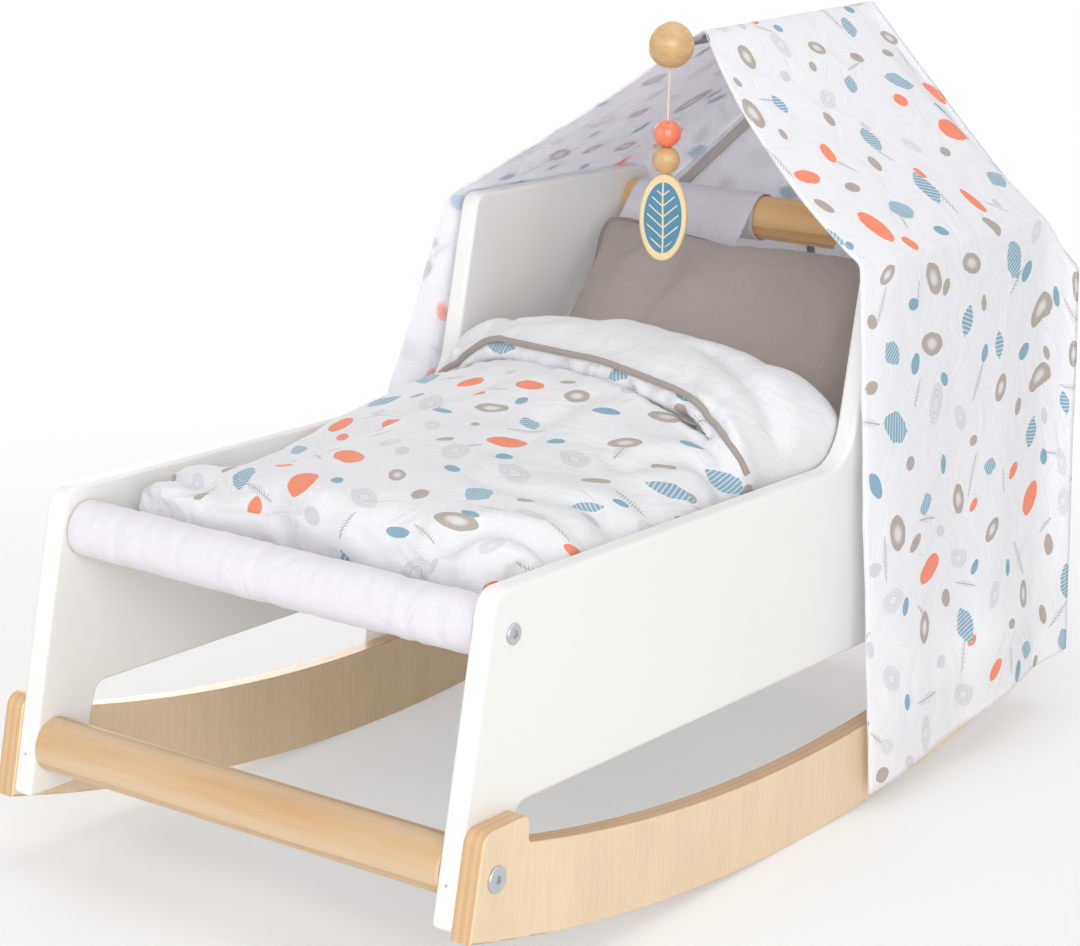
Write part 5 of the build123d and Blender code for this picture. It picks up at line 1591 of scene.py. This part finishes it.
def sewn_piping(duvet, edge, tape):
    """Piping that lies on the duvet's edge, at least half of it clear of the padding."""
    mesh = duvet.data
    skin = BVHTree.FromPolygons([v.co for v in mesh.vertices], [p.vertices[:] for p in mesh.polygons])
    out = np.stack([0.5 * np.sign(edge[:, 0]) * smoothstep((abs(edge[:, 0]) - 70 * MM) / (40 * MM)),
                    np.full(len(edge), -0.55), np.full(len(edge), 0.8)], axis=1)
    out /= np.linalg.norm(out, axis=1)[:, None]
    lifts = []
    for place, way in zip(edge, out):
        hit = skin.ray_cast(Vector(place + 12 * MM * way), Vector(-way), 24 * MM)[0]
        lifts.append(0.0 if hit is None else max(float((np.array(hit) - place) @ way), 0.0))
    even = np.convolve(np.pad(lifts, 4, mode="edge"), np.full(9, 1 / 9), mode="valid")
    path = edge + out * np.maximum(even, np.array(lifts) - 0.7 * MM)[:, None]
    path[:, 0] = np.clip(path[:, 0], PIPING_RADIUS - DUVET_SIDE_LIMIT, DUVET_SIDE_LIMIT - PIPING_RADIUS)
    sides = 12
    rings = tube_points([tuple(p) for p in path], PIPING_RADIUS, sides)
    vertices = [p for ring in rings for p in ring]
    faces = grid_faces(len(rings), sides, closed=True)
    last = (len(rings) - 1) * sides
    faces += [tuple(range(sides)), tuple(last + j for j in range(sides))]
    along = run_lengths(path)
    uv = [(s, math.tau * PIPING_RADIUS * j / sides) for s in along for j in range(sides)]
    piping = mesh_piece("sewn_piping", vertices, faces, [tape], uv)
    make_outward(piping)
    return piping


class CRADLE_OT_duvet(bpy.types.Operator):
    """Duvet with its folded flap, filled by simulation, and the piping along the flap"""

    bl_idname = "cradle.duvet"
    bl_label = "Duvet"

    def execute(self, context):
        colours = context.scene.cradle_colours
        sizes = context.scene.cradle_sizes
        edge = piping_line(90)
        duvet = filled_duvet(edge)
        fold_duvet(duvet, edge)
        set_cloth_uv(duvet.data, duvet_uv(get_points(duvet)))
        # The duvet's cotton is painted a little darker, as painted shade
        crease, painted_lightness = 2.0 * MM, 0.89
        printed = printed_cotton("printed_cotton_percale", colours, sizes, 1.0, crease, painted_lightness=painted_lightness)
        lining = plain_cotton("plain_cotton_percale", colours.cotton[:], sizes.weave, crease, painted_lightness)
        duvet.data.materials.clear()
        for cover in (printed, lining):
            duvet.data.materials.append(cover)
        duvet.data.polygons.foreach_set("material_index", plain_side(duvet.data, edge))
        duvet.data.shade_smooth()
        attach(duvet, "duvet")
        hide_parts("duvet")
        piping = sewn_piping(duvet, edge, plain_cotton("taupe_bias_tape", colours.tape[:], sizes.weave))
        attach(piping, "duvet")
        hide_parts("duvet_piping")
        return {"FINISHED"}


class CRADLE_PT_panel(bpy.types.Panel):
    """Lists the sizes, the colours and the steps"""

    bl_idname = "CRADLE_PT_panel"
    bl_label = "Doll cradle"
    bl_space_type = "VIEW_3D"
    bl_region_type = "UI"
    bl_category = "Doll cradle"

    def draw(self, context):
        for group in (context.scene.cradle_sizes, context.scene.cradle_colours):
            box = self.layout.box()
            for name in group.__annotations__:
                box.prop(group, name)
        for step in STEPS:
            self.layout.operator(step.bl_idname)


STEPS = (
    CRADLE_OT_stage,
    CRADLE_OT_mobile,
    CRADLE_OT_woodwork,
    CRADLE_OT_metalwork,
    CRADLE_OT_canopy,
    CRADLE_OT_sling,
    CRADLE_OT_pillow,
    CRADLE_OT_duvet,
)
CLASSES = (CradleColours, CradleSizes, *STEPS, CRADLE_PT_panel)


def register():
    """Make the steps, the panel and the values known."""
    for item in CLASSES:
        bpy.utils.register_class(item)
    bpy.types.Scene.cradle_colours = bpy.props.PointerProperty(type=CradleColours)
    bpy.types.Scene.cradle_sizes = bpy.props.PointerProperty(type=CradleSizes)


def unregister():
    """Take them away again."""
    del bpy.types.Scene.cradle_sizes
    del bpy.types.Scene.cradle_colours
    for item in reversed(CLASSES):
        bpy.utils.unregister_class(item)


def main():
    """Dress the cradle step by step."""
    register()
    for step in STEPS:
        group, name = step.bl_idname.split(".")
        getattr(getattr(bpy.ops, group), name)()


if __name__ == "__main__":
    main()
